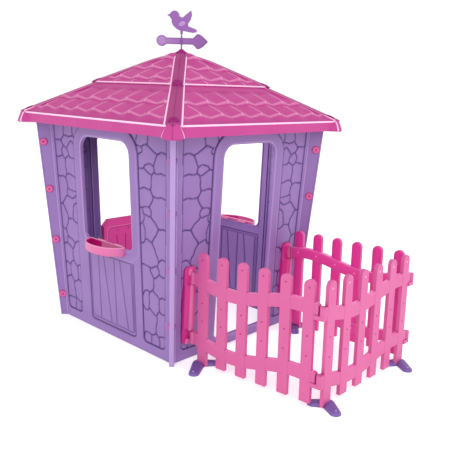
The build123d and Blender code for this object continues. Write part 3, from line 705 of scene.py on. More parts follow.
def make_hip_bands(shape, side, tier):
    """Raised bands along both ends of a roof side, with a bead on the inner edge and a seam on the hip;
    painted shade on band and seam, a painted highlight on the bead, weaker away from the front-left hip.
    """
    t = Tier(side, tier)
    lower = tier == "lower"
    down = np.append(np.linspace(0, 1, 13), 1.0)
    width = HIP_BAND_TOP + (HIP_BAND_LOW - HIP_BAND_TOP) * (down if lower else 0 * down)
    sink = 1.0 if lower else 0.12 + 0.88 * smooth(0.0, 0.3, down)
    bead_highlight = FAR_BEAD_HIGHLIGHT + FAR_BEAD_FOOT_HIGHLIGHT * (smooth(0.86, 0.92, down) if lower else 0 * down)
    for sign in (-1, 1):
        neighbour = next(k for k, o in SIDES.items() if np.allclose(o + (0,), t.along * sign))
        other = Tier(neighbour, tier).normal
        bisector = (t.normal + other) / (1 + t.normal @ other)
        corner = t.normal[:2] + t.along[:2] * sign
        near = corner[0] < 0 and corner[1] < 0
        columns, tones = [], []
        for share, height, tone in HIP_PROFILE:
            u = sign * (t.reach(down) - share * width * t.slant)
            direction = t.normal + (bisector - t.normal) * max(0.0, 1 - share / 0.3)
            rise = np.append(np.full(len(down) - 1, height), HIP_EDGE_DROP) * sink
            columns.append(t.base(u, down) + direction * rise[:, None])
            tones.append(np.full(len(down), tone) if near or tone < 0 else tone * bead_highlight)
        shape.add_grid(np.stack(columns, 1), np.stack(tones, 1), flip=sign > 0)


def roof_corner(signs, half, z):
    return np.array([signs[0] * half, HOUSE_Y + signs[1] * half * ROOF_RATIO, z])


ROOF_LIPS = (
    # half width, height, radius, how far it stops from the corner
    (EAVE_HALF - 1.0, EAVE_Z + 2.0, 4.0, 44.0), (LIP_HALF, LIP_Z + 7.0, 3.8, 32.0),
)


def make_roof(side):
    tiles, bands, trim = Shape(), Shape(), Shape()
    for tier in TIERS:
        make_tiles(tiles, side, tier)
        make_hip_bands(bands, side, tier)
    tiles.build("roof_" + side + "_tiles", "roof_plastic", "house", smooth_angle=38)
    bands.build("roof_" + side + "_hip_bands", "roof_plastic", "house", smooth_angle=60)
    out = SIDES[side]
    ends = [(out[0] or sign, out[1] or sign) for sign in (-1, 1)]
    for half, z, radius, keep_back in ROOF_LIPS:
        a, b = (roof_corner(e, half, z) for e in ends)
        way = unit(b - a)
        # Painted highlight: the lips are pale along their whole length.
        add_bar(trim, a + way * keep_back, b - way * keep_back, radius, 1.0)
    trim.build("roof_" + side + "_lips", "roof_plastic", "house")


for side in SIDES:
    make_roof(side)


CORNERS = ((-1, -1), (-1, 1), (1, -1), (1, 1))
PLUGS = (("upper", 278.0), ("lower", 506.0))
PLUG_SEAT = 8.2
PLUG_PROFILE = (
    (21.0, -6.0), (21.0, 0.6), (19.5, 1.8), (17.5, 2.0), (16.0, 1.0), (12.0, 1.8), (5.0, 2.2), (0.5, 2.3),
)
# Painted shade round the foot and in the ring groove, a faint painted highlight on the rim.
PLUG_TONES = (-0.4, -0.2, 0.1, 0.0, -1.0, 0, 0, 0)


def add_cross(shape, centre, ways, half, radius, tone):
    """Two crossed bars in a fastener's face."""
    for way in ways:
        add_bar(shape, centre - way * half, centre + way * half, radius, tone)


def make_plugs():
    """Round domed push-in fasteners with a cross, on the hips at the middle step and by the eaves; painted
    shade round the foot, in the ring groove and on the cross.
    """
    plugs = Shape()
    for signs in CORNERS:
        for tier, half in PLUGS:
            (low_half, low_z), (high_half, high_z) = TIERS[tier][:2]
            z = low_z + (high_z - low_z) * (low_half - half) / (low_half - high_half)
            sides = ("left" if signs[0] < 0 else "right", "front" if signs[1] < 0 else "rear")
            normal = unit(sum(Tier(side, tier).normal for side in sides))
            seat = roof_corner(signs, half, z) + normal * PLUG_SEAT
            add_turned(plugs, seat, normal, PLUG_PROFILE, 24, PLUG_TONES)
            down_hip = unit(roof_corner(signs, low_half, low_z) - roof_corner(signs, high_half, high_z))
            add_cross(plugs, seat + normal * 1.4, (down_hip, np.cross(normal, down_hip)), 10.0, 1.8, -1.0)
    plugs.build("hip_plug_heads", "cap_plastic", "house", smooth_angle=50)


make_plugs()


CAP_SKIRT = (
    # radius, height above the ground
    (36.0, 1338.0), (35.0, 1346.0), (31.0, 1350.0), (22.0, 1354.5), (14.0, 1359.0), (9.5, 1365.0),
    (8.0, 1366.0),
)


def make_cap_skirt():
    """Flared foot of the roof cap, over the upper ends of the hips, painted with shade towards its foot and
    a faint highlight towards its top.
    """
    skirt = Shape()
    add_turned(skirt, (0.0, HOUSE_Y, 0.0), UP, CAP_SKIRT, 32, (-0.6, -0.5, -0.2, 0.0, 0.0, 0.1, 0.2))
    skirt.build("roof_cap_skirt", "cap_plastic", "house", smooth_angle=50)


make_cap_skirt()


TIP_TOP_Z = 1040.0
TIP_LOW_Z = 997.0
TIP_CROWN = 13.0
TIP_SAG = 3.0
TIP_ROUNDNESS = 0.66
TIP_BACK = 62.0
TIP_SEGMENTS = 24
TIP_LEVELS = (
    # share of the way down, half width, reach past the corner
    (0.0, 27.0, -10.0), (0.1, 30.0, -4.0), (0.25, 34.0, 1.0), (0.45, 38.5, 6.0), (0.65, 42.0, 10.0),
    (0.82, 44.5, 13.0), (0.93, 45.0, 14.0), (1.0, 43.0, 12.0), (1.06, 38.0, 7.0), (1.08, 32.0, 2.0),
)


def make_roof_tips():
    """Flared, rounded tips that close the fascia at the four corners, with painted highlights along the
    edges and painted shade along the seam.
    """
    tips = Shape()
    turn = math.pi * (np.arange(TIP_SEGMENTS + 1) / TIP_SEGMENTS - 0.5)
    tones = np.zeros(TIP_SEGMENTS + 3)
    tones[[1, 2, TIP_SEGMENTS - 2, TIP_SEGMENTS - 1]] = 0.8
    tones[TIP_SEGMENTS // 2] = -0.5
    for signs in CORNERS:
        corner = roof_corner(signs, EAVE_HALF, 0)
        diagonal = unit(signs + (0,))
        across = np.array([-diagonal[1], diagonal[0], 0.0])
        rings = []
        for share, half, reach in TIP_LEVELS:
            depth = half * TIP_ROUNDNESS
            bulge = depth * np.cos(turn) + reach - depth + 2
            lift = (TIP_CROWN * max(0.0, 1 - share) ** 2 - TIP_SAG * share) * np.cos(turn)
            z = TIP_TOP_Z + (TIP_LOW_Z - TIP_TOP_Z) * share + lift
            ring = on_axes(corner, diagonal, across, bulge, half * np.sin(turn), z)
            rings.append(np.concatenate([ring, ring[[-1, 0]] - diagonal * TIP_BACK]))
        tips.add_rings(rings, tones, flip=True)
    tips.build("roof_corner_tips", "roof_plastic", "house", smooth_angle=50)


make_roof_tips()


# ------------------------------------------------------------------ fence
FENCE_TURN = math.radians(FENCE_SKEW)
FENCE_WAY = np.array([math.sin(FENCE_TURN), -math.cos(FENCE_TURN), 0.0])
NEAR_POST = np.array([-BRACKET_X, HOUSE_Y + HINGE_LINE_Y, 0.0])
FAR_POST = np.array([BRACKET_X, HOUSE_Y + HINGE_LINE_Y, 0.0])
PICKETS = [PICKET_FIRST + PICKET_PITCH * i for i in range(PICKET_COUNT)]
FRONT_PICKETS = [FRONT_PICKET_FIRST + FRONT_PICKET_PITCH * i for i in range(PICKET_COUNT)]
PANELS = {
    # fence body: its first post, the way along it, its pickets' places
    "near_fence": (NEAR_POST, FENCE_WAY, PICKETS),
    "front_fence": (NEAR_POST + FENCE_WAY * PANEL_LENGTH, np.array([1.0, 0.0, 0.0]), FRONT_PICKETS),
    "far_fence": (FAR_POST + FENCE_WAY * PANEL_LENGTH, -FENCE_WAY, PICKETS),
}
PICKET_LOW_Z = 17.0
PICKET_BULGE = 4.6
DOT_LEVELS = (476.0, 286.0, 206.0)
RAIL_PROFILE = (
    # height off the rail's middle, place across the panel, tone: painted shade on the lower edge, painted
    # highlight along the top
    (-26.0, -10.0, -0.3), (-25.5, -13.0, 0.0), (-23.0, -14.4, 0.0), (23.0, -14.4, 0.1), (25.5, -13.0, 0.8),
    (26.6, -10.0, 0.8), (26.8, 5.6, 0.55), (25.8, 7.9, 0.8),
)
STUD_PROFILE = ((4.6, 0), (4.2, 0.8), (2.4, 1.5), (0.6, 1.8))
DOT_PROFILE = ((4.4, 0), (3.8, 0.9), (2.9, 1.1), (2.4, 0.5), (0.5, 0.45))


def rail_wave(s):
    turn = 2 * math.pi
    return -RAIL_WAVE * (np.sin(turn * (s / PANEL_LENGTH - RAIL_PHASE)) + math.sin(turn * RAIL_PHASE))


def outward_of(panel):
    way = PANELS[panel][1]
    return np.array([way[1], -way[0], 0.0])


def panel_place(panel, s, w, z):
    origin, way, _ = PANELS[panel]
    return on_axes(origin, way, outward_of(panel), s, w, z)


def add_picket_back(shape, panel, s):
    """Rounded inner side of one picket, up into its bullet-shaped top."""
    radius = PICKET_WIDTH / 2
    round_z = PICKET_TOP_Z - radius
    z = np.concatenate([
        [PICKET_LOW_Z + 2.0, PICKET_LOW_Z + 5.0], np.linspace(40, round_z, 8),
        round_z + radius * np.sin(np.linspace(0.1, 1.5, 12)),
    ])
    half = np.sqrt(np.maximum(radius ** 2 - np.maximum(z - round_z, 0) ** 2, 0))[:, None] * 0.93
    a = np.linspace(-1, 1, 13)
    bulge = PICKET_BULGE * np.sqrt(np.maximum(1 - a ** 2, 0)) * np.minimum(1, half / 12.0)
    bulge[0] = 0
    shape.add_grid(panel_place(panel, s + half * a, -PICKET_FACE - 0.1 - bulge, z[:, None]), 0.0, flip=True)


def make_fence_inside(panel):
    """Picket backs, inner rails with a stud at each picket, and the marks on the outer face; the rails' tops
    and studs carry painted highlights, the marks are painted dark, with painted glints on the front panel's
    top row.
    """
    backs, rails, dots = Shape(), Shape(), Shape()
    outward = outward_of(panel)
    s = np.linspace(26, PANEL_LENGTH - 26, 61)[:, None]
    rise, across, tones = np.array(RAIL_PROFILE).T
    for level in RAIL_LEVELS:
        rails.add_grid(panel_place(panel, s, across, level + rail_wave(s) + rise), tones, flip=True)
        for place in PANELS[panel][2]:
            centre = panel_place(panel, place, -14.2, level + float(rail_wave(place)))
            add_turned(rails, centre, -outward, STUD_PROFILE, 10, 0.7)
    for place in PANELS[panel][2]:
        add_picket_back(backs, panel, place)
        for level in DOT_LEVELS:
            centre = panel_place(panel, place, PICKET_FACE - 0.4, level)
            # Painted glints on the front panel's top row of marks; all the other marks painted dark.
            tone = 1.0 if panel == "front_fence" and level == DOT_LEVELS[0] else -1.0
            add_turned(dots, centre, outward, DOT_PROFILE, 10, tone)
    backs.build(panel + "_picket_backs", "fence_plastic", panel, material=SHADED_INNER)
    rails.build(panel + "_inner_rails", "fence_plastic", panel, material=SHADED_INNER)
    dots.build(panel + "_ejector_marks", "fence_plastic", panel)


for panel in PANELS:
    make_fence_inside(panel)


BRACKET_LEAN = -5.0
BRACKET_BASE = 8.2
BRACKET_STATIONS = (
    # height, depth off the wall, half width
    (82, 2, 20), (86, 9, 26), (92, 11, 29), (146, 11.5, 30), (152, 20, 31), (160, 23, 31.5), (344, 23, 31.5),
    (354, 20, 31), (360, 11.5, 30), (418, 11.5, 30), (426, 10, 27), (431, 7, 22), (434, 2, 16),
)
BRACKET_RIB_SHIFT = 10.0
BRACKET_RIBS = (
    # low end, high end, distance off the wall, radius
    (154.0, 352.0, 30.0, 9.5), (88.0, 98.0, 14.0, 12.0), (404.0, 418.0, 14.0, 12.0),
)


def make_bracket_column(name, sign):
    """Rounded column over a bracket's plate, with a rib down its middle; the column is in the shaded inner
    plastic and painted with more shade towards its sides.
    """
    column, rib = Shape(), Shape()
    wall = Wall("front")
    around = np.linspace(-1, 1, 17) * math.pi / 2
    z, depth, half = np.array(BRACKET_STATIONS, float).T[:, :, None]
    u = sign * BRACKET_X + BRACKET_LEAN + half * 1.08 * np.sin(around)
    points = wall.place(u, z + 0 * u, BRACKET_BASE + depth * np.cos(around) ** 0.8)
    rim = u[:, [0, -1]]
    foot = wall.place(rim, z + 0 * rim, 0 * rim + 0.6)
    points = np.concatenate([foot[:, :1], points, foot[:, 1:]], 1)
    column.add_grid(points, np.concatenate([[-0.9], -0.7 * np.abs(np.sin(around)), [-0.9]]))
    column.build(name + "_column", "fence_plastic", "house", smooth_angle=40, material=SHADED_INNER)
    for low, high, off, radius in BRACKET_RIBS:
        ends = [wall.place(sign * (BRACKET_X + BRACKET_RIB_SHIFT), z, off) for z in (low, high)]
        add_bar(rib, ends[0], ends[1], radius, 0.08)
    rib.build(name + "_rib", "fence_plastic", "house", smooth_angle=50)


make_bracket_column("near_bracket", -1)
make_bracket_column("far_bracket", 1)


# ------------------------------------------------------------------ feet
FEET = {
    # fence body, picket, which way along the panel the lobes point, how far, reach outward, reach inward
    "near_foot": ("near_fence", PICKETS[0], 1, 30.0, 86.0, 48.0),
    "front_left_foot": ("front_fence", FRONT_PICKETS[0], -1, 18.0, 62.0, 44.0),
    "front_right_foot": ("front_fence", FRONT_PICKETS[-1], -1, 26.0, 64.0, 20.0),
    "far_foot": ("far_fence", PICKETS[-1], -1, 32.0, 62.0, 62.0),
}
FOOT_LOBE_RADIUS = 23.0
FOOT_HEEL = 20.0
FOOT_HEEL_RADIUS = 29.0
FOOT_LEVELS = (
    # share of the outline's radius, height
    (1.0, 0.0), (1.0, 3.0), (0.97, 5.6), (0.9, 8.6), (0.78, 11.0), (0.6, 12.8), (0.35, 13.9), (0.08, 14.3),
)
FOOT_STUD_Z = 13.2
FOOT_STUD_PROFILE = ((4.4, -1.0), (4.0, 1.4), (2.2, 2.2), (0.5, 2.4))


def capsule_outline(start, end, start_radius, end_radius, steps=14):
    """Outline round two circles and their tangents, in plane coordinates."""
    way = math.atan2(end[1] - start[1], end[0] - start[0])
    points = []
    for centre, radius, quarter in ((start, start_radius, math.pi / 2), (end, end_radius, -math.pi / 2)):
        turn = way + quarter + math.pi * np.arange(steps + 1) / steps
        points.append(np.stack([centre[0] + radius * np.cos(turn), centre[1] + radius * np.sin(turn)], 1))
    return np.concatenate(points)


def make_foot(name):
    """A domed boomerang: two lobes that meet in a heel under the picket, each with a stud painted as a
    highlight.
    """
    panel, place, way, shift, reach_out, reach_in = FEET[name]
    foot = Shape()
    for reach in (-reach_in, reach_out):
        rings = []
        for share, height in FOOT_LEVELS:
            radii = (FOOT_HEEL_RADIUS * share, FOOT_LOBE_RADIUS * share)
            outline = capsule_outline((-FOOT_HEEL * way, 0.0), (shift * way, reach), *radii)
            rise = height * (1 + 0.5 * np.exp(-np.hypot(outline[:, 0], outline[:, 1]) / 30.0))
            rings.append(panel_place(panel, place + outline[:, 0], outline[:, 1], rise))
        foot.add_rings(rings)
        tip = panel_place(panel, place + shift * way, reach * 1.04, FOOT_STUD_Z)
        add_turned(foot, tip, UP, FOOT_STUD_PROFILE, 10, 1.0)
    foot.build(name + "_dome", "foot_plastic", panel, smooth_angle=50, replaces=(name,))


for name in FEET:
    make_foot(name)


# ------------------------------------------------------------------ half door
LEAF_LOW_Z = 56.0
LEAF_TOP_Z = 470.0
LEAF_HALF = DOOR_HALF - 6.0
LEAF_CHAMFER = 34.0
LEAF_LOW_RADIUS = 30.0
LEAF_PANEL_Z = 253.0
LEAF_PANEL_HALF = 170.0
LEAF_PLANK_TOP_Z = 378.0
LEAF_PLANK_JOINTS = ((-88, -84), (-30, -44), (22, 26), (78, 66))
LEAF_RIVET_Z = 404.0
LEAF_RIVET_RADIUS = 4.5


def make_leaf_face(name, base, direction):
    """Recessed, planked face of the half door, lying base off the wall's face and rising in direction;
    painted shade in the plank joints and the recess's edge groove, a painted highlight along its rim, and
    dark rivet spots.
    """
    wall = Wall("rear")
    z = np.linspace(LEAF_LOW_Z + 2, LEAF_TOP_Z - 2, 138)[:, None]
    low_cut = np.maximum(LEAF_LOW_Z + LEAF_LOW_RADIUS - z, 0)
    corner = LEAF_LOW_RADIUS - np.sqrt(np.maximum(LEAF_LOW_RADIUS ** 2 - low_cut ** 2, 0))
    half = LEAF_HALF - 2 - np.maximum(z - (LEAF_TOP_Z - LEAF_CHAMFER), 0) - corner
    x = np.linspace(-1, 1, 121)[None, :] * half
    height = z + 0 * x
    panel = rounded_box(x, height - LEAF_PANEL_Z, LEAF_HALF - 26.0, LEAF_PANEL_HALF, 22.0, 18.0)
    recess = 1 - smooth(-5.0, 0.0, panel)
    nearest = np.full(x.shape, FAR_OFF)
    for top, low in LEAF_PLANK_JOINTS:
        nearest = np.minimum(nearest, np.abs(x - low - (top - low) * (height - 90.0) / 270.0))
    joints = (1 - smooth(1.4, 5.0, nearest)) * (panel < -8) * (height < LEAF_PLANK_TOP_Z)
    edge = 1 - smooth(1.0, 5.0, np.abs(panel + 4.0))
    rise = 4.2 - 3.0 * recess - 1.0 * joints
    tone = -0.85 * np.maximum(joints, 0.7 * edge)
    tone = tone + 0.5 * (1 - smooth(0.5, 4.0, np.abs(panel - 2.0)))
    for place in (-70.0, 0.0, 70.0):
        tone = np.where(np.hypot(x - place, height - LEAF_RIVET_Z) < LEAF_RIVET_RADIUS, -0.8, tone)
    face = Shape()
    face.add_grid(wall.place(x + wall.centre, height, base + direction * rise), tone, flip=direction < 0)
    face.build(name, "door_plastic", "half_door", smooth_angle=0)


make_leaf_face("door_leaf_inner_face", -19.2, -1.0)
make_leaf_face("door_leaf_outer_face", -1.0, 1.0)


# ------------------------------------------------------------------ corners of the walls
NEAR_BOLT_HEIGHTS = (181.0, 437.0, 683.0, 902.0)
OTHER_BOLT_HEIGHTS = (112.0, 402.0, 662.0, 898.0)
HEAD_SIDES = {(-1, -1): "left", (-1, 1): "left", (1, -1): "front", (1, 1): "rear"}
BOLT_OFFSET_GROUND = 11.0
BOLT_OFFSET_SPREAD = 0.032
FLANGE_THICKNESS = 10.0
BOLT_HEAD_HEIGHT = 6.0
RIM_PROFILE = ((19.4, 0.0), (19.2, 1.6), (18.2, 2.2), (16.4, 1.0), (15.0, 0.6))
RIM_TONES = (-0.9, -0.8, -0.5, -0.8, -0.9)
FIN_GROUND_WIDTH = 33.0
FIN_TOP_WIDTH = 68.0
FIN_TOP_Z = 1010.0
FIN_EDGE_HALF = 11.0


def house_corner(signs, z, past=0.0):
    """A point on the corner where two walls meet at height z, or past it along both axes."""
    x, y = GROUND_HALF_X + LEAN_X * z + past, GROUND_HALF_Y + LEAN_Y * z + past
    return np.array([signs[0] * x, HOUSE_Y + signs[1] * y, z])


def make_bolt_rims():
    """Dished rings round the bolt heads and a cross in each head, both painted with shade."""
    rims = Shape()
    for signs, side in HEAD_SIDES.items():
        diagonal = unit(signs + (0,))
        normal = unit(np.cross(unit((signs[0] * LEAN_X, signs[1] * LEAN_Y, 1.0)), diagonal))
        if normal @ (Wall(side).origin - house_corner(signs, 0.0)) < 0:
            normal = -normal
        across = np.cross(normal, diagonal)
        for z in NEAR_BOLT_HEIGHTS if signs == (-1, -1) else OTHER_BOLT_HEIGHTS:
            past = (BOLT_OFFSET_GROUND + BOLT_OFFSET_SPREAD * z) / math.sqrt(2)
            seat = house_corner(signs, z, past) + normal * (FLANGE_THICKNESS + 0.2)
            add_turned(rims, seat, normal, RIM_PROFILE, 28, RIM_TONES)
            face = seat + normal * (BOLT_HEAD_HEIGHT - 0.6)
            add_cross(rims, face, (unit(diagonal + across), unit(diagonal - across)), 9.0, 1.1, -0.7)
    rims.build("bolt_rims", "bolt_plastic", "house", smooth_angle=50)


make_bolt_rims()


def make_fin_edges():
    """Rounded outer edges of the four corner flange pairs, painted with a highlight and with shade along
    their sides, and fillets where they leave the walls, painted with a highlight.
    """
    edges = Shape()
    around = np.linspace(-1, 1, 13) * math.pi / 2
    for signs in HEAD_SIDES:
        diagonal = unit(signs + (0,))
        across = np.array([-diagonal[1], diagonal[0], 0.0])
        rows = []
        for z, shrink in ((1.0, 0.86), (4.0, 1.0), (500.0, 1.0), (FIN_TOP_Z - 2, 1.0)):
            width = FIN_GROUND_WIDTH + (FIN_TOP_WIDTH - FIN_GROUND_WIDTH) * z / FIN_TOP_Z
            out = np.concatenate([[width - 7.0], width - 1.5 + 4.0 * shrink * np.cos(around), [width - 7.0]])
            aside = FIN_EDGE_HALF * shrink * np.concatenate([[-1], np.sin(around), [1]])
            rows.append(on_axes(house_corner(signs, z), diagonal, across, out, aside, 0.0))
        tones = np.full(len(around) + 2, 0.42)
        tones[[0, -1]] = -0.4
        edges.add_grid(np.array(rows), tones)
    for side in SIDES:
        wall = Wall(side)
        for sign in (-1, 1):
            ends = [wall.place(sign * (wall.half_at(z) - 9.5), z, 6.0) for z in (6.0, FASCIA_LOW_Z + 8)]
            add_bar(edges, ends[0], ends[1], 3.4, 0.5)
    edges.build("corner_edges", "wall_plastic", "house", smooth_angle=50)


make_fin_edges()


# ------------------------------------------------------------------ CAD nodes: finish and softened edges
SOFT_EDGES = {
    "near_fence_panel": 2.4, "front_fence_panel": 2.4, "far_fence_panel": 2.4, "near_bracket": 2.5,
    "far_bracket": 2.5, "left_flower_tray": 1.5, "right_flower_tray": 1.5, "door_leaf": 2.5,
    "vane_arrow": 1.6, "vane_bird": 1.6, "roof_cap": 1.0, "corner_bolts": 1.0,
}


def finish_cad_nodes():
    for part in frame["record"]["subparts"]:
        node = frame["nodes"][part["node"]]
        material = SLOT_MATERIAL[part["material_slot"]]
        if node.data.materials:
            node.data.materials[0] = material
        else:
            node.data.materials.append(material)
        width = SOFT_EDGES.get(part["node"])
        if width:
            node.modifiers.new("join", "WELD").merge_threshold = 0.00005
            bevel = node.modifiers.new("soft_edges", "BEVEL")
            bevel.width = width * MM
            bevel.segments = 2
            bevel.limit_method = "ANGLE"
            bevel.angle_limit = math.radians(40)
            bevel.use_clamp_overlap = True
            bevel.harden_normals = False
            node.modifiers.new("shading", "WEIGHTED_NORMAL").keep_sharp = False


finish_cad_nodes()


# ------------------------------------------------------------------ flower trays
TRAY_SHIFT = 20.0
TRAY_HALF = 136.0
TRAY_REACH = 82.0
TRAY_LOW_Z = 426.0
TRAY_TOP_Z = 464.0
TRAY_BACK = GROUND_HALF_X + LEAN_X * TRAY_TOP_Z + 6.3
TRAY_LINING_GAP = 4.8
TRAY_LINING_HALF = TRAY_HALF - 13.0
TRAY_LINING_LEVELS = (TRAY_LOW_Z + 5.0, TRAY_LOW_Z + 8.0, TRAY_TOP_Z - 6.0, TRAY_TOP_Z - 2.0)
TRAY_SHADE_Y = 62.0


def make_tray_trim(side):
    """Rolled lips round the top and foot of a tray and the smooth lining of its hollow; the top lip and back
    bar carry painted highlights, and the lining is painted lighter on the back wall, with shade on the
    curved wall and dark shade at the far end.
    """
    out, way = np.array([-1.0 if side == "left" else 1.0, 0, 0]), np.array([0.0, 1.0, 0.0])
    origin = np.array([0.0, HOUSE_Y, 0.0])
    turn = np.linspace(0.02, math.pi - 0.02, 41)

    def place(half, reach, z, gap=0.0):
        """Points on a half ellipse, from its +Y end round to its -Y end."""
        away, along = TRAY_BACK + reach * np.sin(turn) + gap, TRAY_SHIFT + half * np.cos(turn)
        return on_axes(origin, out, way, away, along, z)

    trim = Shape()
    add_tube(trim, place(TRAY_HALF - 2, TRAY_REACH - 2, TRAY_TOP_Z), 2.8, 0.35)
    add_tube(trim, place(TRAY_HALF - 1, TRAY_REACH - 1, TRAY_LOW_Z + 2.4), 2.2, -0.1)
    back = on_axes(origin, out, way, TRAY_BACK + 3.0, TRAY_SHIFT, TRAY_TOP_Z + 1)
    add_bar(trim, back - way * (TRAY_HALF - 6), back + way * (TRAY_HALF - 6), 2.6, 0.5)
    trim.build(side + "_tray_lips", "tray_plastic", "house", smooth_angle=50)

    lining = Shape()
    levels = np.array(TRAY_LINING_LEVELS)[:, None]
    ends = TRAY_SHIFT + np.linspace(-1, 1, 41) * TRAY_LINING_HALF
    for wall, shade in (
        (place(TRAY_LINING_HALF, TRAY_REACH - 9.0, levels, TRAY_LINING_GAP), -0.25),
        (on_axes(origin, out, way, TRAY_BACK + TRAY_LINING_GAP, ends, levels), 0.15),
    ):
        tones = np.where(wall[..., 1] - HOUSE_Y > TRAY_SHADE_Y, -1.0, shade)
        lining.add_grid(wall, tones, flip=side == "left")
    lining.build(side + "_tray_lining", "tray_plastic", "house", smooth_angle=50)


for side in ("left", "right"):
    make_tray_trim(side)


# ------------------------------------------------------------------ weather vane
VANE_TURN = math.radians(-47.0)
VANE_WAY = np.array([math.cos(VANE_TURN), math.sin(VANE_TURN), 0.0])
VANE_FACE = np.array([-VANE_WAY[1], VANE_WAY[0], 0.0])
ARROW_Z = 1404.0
ARROW_HALF_HEIGHT = 12.6
ARROW_HALF_THICKNESS = 2.6
DISC_PLACE = -95.0
DISC_RADIUS = 23.5
DISC_PROFILE = ((19.0, 0), (18.4, 0.9), (10.0, 1.2), (0.5, 1.3))
HEAD_START = 54.0
HEAD_WIDE = 80.0
HEAD_HALF_HEIGHT = 33.0
HEAD_TIP = 124.0
HUB_PROFILE = ((4.0, -17.0), (6.6, -16.0), (7.2, -12.0), (7.2, 12.0), (6.6, 16.0), (4.0, 17.0))
WING_PLACE = 2.0
WING_Z = 1485.0
WING_TILT = math.radians(24.0)
WING_HALF_LENGTH = 17.0
WING_HALF_HEIGHT = 11.0
WING_LEVELS = (
    # share of the outline, height off the bird's middle
    (1.0, 2.0), (0.94, 2.9), (0.8, 3.6), (0.55, 4.2), (0.3, 4.5), (0.05, 4.6),
)


def vane_place(s, w, z):
    return on_axes(np.array([0.0, HOUSE_Y, 0.0]), VANE_WAY, VANE_FACE, s, w, z)


def arrow_outline():
    """Round tail disc, straight bar and a spade-shaped head, as (along, up) pairs going round."""
    meet = math.asin(ARROW_HALF_HEIGHT / DISC_RADIUS)
    turn = np.linspace(meet, 2 * math.pi - meet, 25)
    disc = np.stack([DISC_PLACE + DISC_RADIUS * np.cos(turn), DISC_RADIUS * np.sin(turn)], 1)
    share = np.linspace(0, 1, 7)
    rise = ARROW_HALF_HEIGHT + (HEAD_HALF_HEIGHT - ARROW_HALF_HEIGHT) * share ** 1.35
    flank = np.stack([HEAD_START + (HEAD_WIDE - HEAD_START - 4) * share, rise], 1)
    fall = np.linspace(0.06, 1, 12)
    point = np.stack([HEAD_WIDE + (HEAD_TIP - HEAD_WIDE) * fall, HEAD_HALF_HEIGHT * (1 - fall ** 1.55)], 1)
    upper = np.concatenate([flank, point[:-1]])
    tip = np.array([[HEAD_TIP - 0.6, -3.0], [HEAD_TIP, 0.0], [HEAD_TIP - 0.6, 3.0]])
    return np.concatenate([disc, upper * np.array([1.0, -1.0]), tip, upper[::-1]])


def make_vane_arrow():
    """The whole arrow: a plate with a rolled edge, a hub on the rod and a dished tail disc; the plate is
    painted lighter at its tail and darker at its head, the disc with a highlight, the edge and hub with
    shade.
    """
    arrow = Shape()
    along, up = arrow_outline().T
    tones = 0.12 - 0.0022 * (along + 20)
    ring = tuple(range(len(along)))
    for w, face in ((ARROW_HALF_THICKNESS - 0.6, ring[::-1]), (-ARROW_HALF_THICKNESS + 0.6, ring)):
        arrow.add(vane_place(along, w, ARROW_Z + up), [face], tones)
    add_tube(arrow, vane_place(along, 0.0, ARROW_Z + up), ARROW_HALF_THICKNESS, tones - 0.4, 10, closed=True)
    for face in (-1, 1):
        seat = vane_place(DISC_PLACE, face * (ARROW_HALF_THICKNESS - 0.9), ARROW_Z)
        add_turned(arrow, seat, VANE_FACE * face, DISC_PROFILE, 28, 0.42)
    add_turned(arrow, vane_place(0.0, 0.0, ARROW_Z), UP, HUB_PROFILE, 24, -0.35)
    arrow.build("vane_arrow_plate", "vane_plastic", "vane", smooth_angle=40, replaces=("vane_arrow",))


def make_bird_wing():
    """Domed wing on each face of the bird."""
    wing = Shape()
    turn = np.linspace(0, 2 * math.pi, 29)[:-1]
    for face in (-1, 1):
        rings = []
        for share, height in WING_LEVELS:
            a, b = WING_HALF_LENGTH * share * np.cos(turn), WING_HALF_HEIGHT * share * np.sin(turn)
            along = a * math.cos(WING_TILT) - b * math.sin(WING_TILT)
            up = a * math.sin(WING_TILT) + b * math.cos(WING_TILT)
            rings.append(vane_place(WING_PLACE + along, face * height, WING_Z + up))
        wing.add_rings(rings[::-face], 0.55, ends=False)
    wing.build("vane_bird_wing", "vane_plastic", "vane", smooth_angle=60)


make_vane_arrow()
make_bird_wing()


# ------------------------------------------------------------------ stage
FLOOR_HALF = 14.0
FLOOR_Z = -0.0006
LIGHTS = (
    # name, place, what it points at, size, power
    ("key", (-3.6, -4.2, 4.2), (0, 0.2, 0.6), 3.0, 80.0),
    ("fill", (3.4, -4.4, 2.6), (0, 0.0, 0.6), 3.5, 30.0),
    ("room", (-0.12, 0.2, 0.86), (0.4, 0.3, 0.25), 0.4, 3.2),
)
CAMERA_HEADING = math.radians(47.87)
CAMERA_PITCH = math.radians(11.14)
CAMERA_ROLL = math.radians(1.88)
CAMERA_PLACE = (-2.070, HOUSE_Y * MM - 2.387, 1.195)


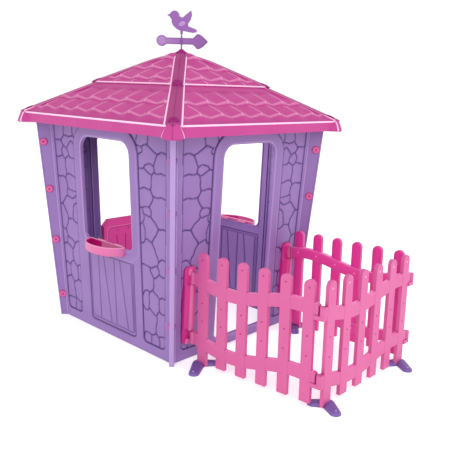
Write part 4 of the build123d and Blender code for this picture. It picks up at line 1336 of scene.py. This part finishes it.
def make_floor():
    mesh = bpy.data.meshes.new("floor")
    corners = [(x * FLOOR_HALF, y * FLOOR_HALF, 0) for x, y in ((-1, -1), (1, -1), (1, 1), (-1, 1))]
    mesh.from_pydata(corners, [], [(0, 1, 2, 3)])
    floor = bpy.data.objects.new("floor", mesh)
    bpy.context.scene.collection.objects.link(floor)
    floor.location.z = FLOOR_Z
    paint = bpy.data.materials.new("floor_paper")
    paint.use_nodes = True
    shader = paint.node_tree.nodes["Principled BSDF"]
    for socket, value in (
        ("Base Color", (0.9, 0.9, 0.9, 1)), ("Roughness", 0.95), ("Specular IOR Level", 0.0),
        ("Emission Color", (1.0, 1.0, 1.0, 1)), ("Emission Strength", 0.4),
    ):
        shader.inputs[socket].default_value = value
    mesh.materials.append(paint)


def make_light():
    world = bpy.data.worlds.new("studio")
    bpy.context.scene.world = world
    world.use_nodes = True
    back = world.node_tree.nodes["Background"]
    back.inputs["Color"].default_value = (1.0, 1.0, 1.0, 1)
    back.inputs["Strength"].default_value = 1.0
    for name, place, aim, size, power in LIGHTS:
        light = bpy.data.lights.new(name, "AREA")
        light.size = size
        light.energy = power
        lamp = bpy.data.objects.new(name, light)
        lamp.location = place
        lamp.rotation_mode = "QUATERNION"
        lamp.rotation_quaternion = (Vector(aim) - Vector(place)).to_track_quat("-Z", "Y")
        bpy.context.scene.collection.objects.link(lamp)
    bpy.context.scene.view_settings.view_transform = "Standard"


def make_camera():
    ahead = Vector((math.sin(CAMERA_HEADING), math.cos(CAMERA_HEADING), 0))
    level = Vector((ahead.y, -ahead.x, 0))
    forward = ahead * math.cos(CAMERA_PITCH) - Vector((0, 0, math.sin(CAMERA_PITCH)))
    upright = level.cross(forward)
    right = level * math.cos(CAMERA_ROLL) + upright * math.sin(CAMERA_ROLL)
    up = upright * math.cos(CAMERA_ROLL) - level * math.sin(CAMERA_ROLL)
    data = bpy.data.cameras.new("camera")
    data.sensor_width = 36.0
    data.lens = 49.8
    data.shift_x = -0.0623
    data.shift_y = -0.0343
    camera = bpy.data.objects.new("camera", data)
    bpy.context.scene.collection.objects.link(camera)
    turn = Matrix((right, up, -forward)).transposed().to_4x4()
    camera.matrix_world = Matrix.Translation(CAMERA_PLACE) @ turn
    bpy.context.scene.camera = camera


make_floor()
make_light()
make_camera()
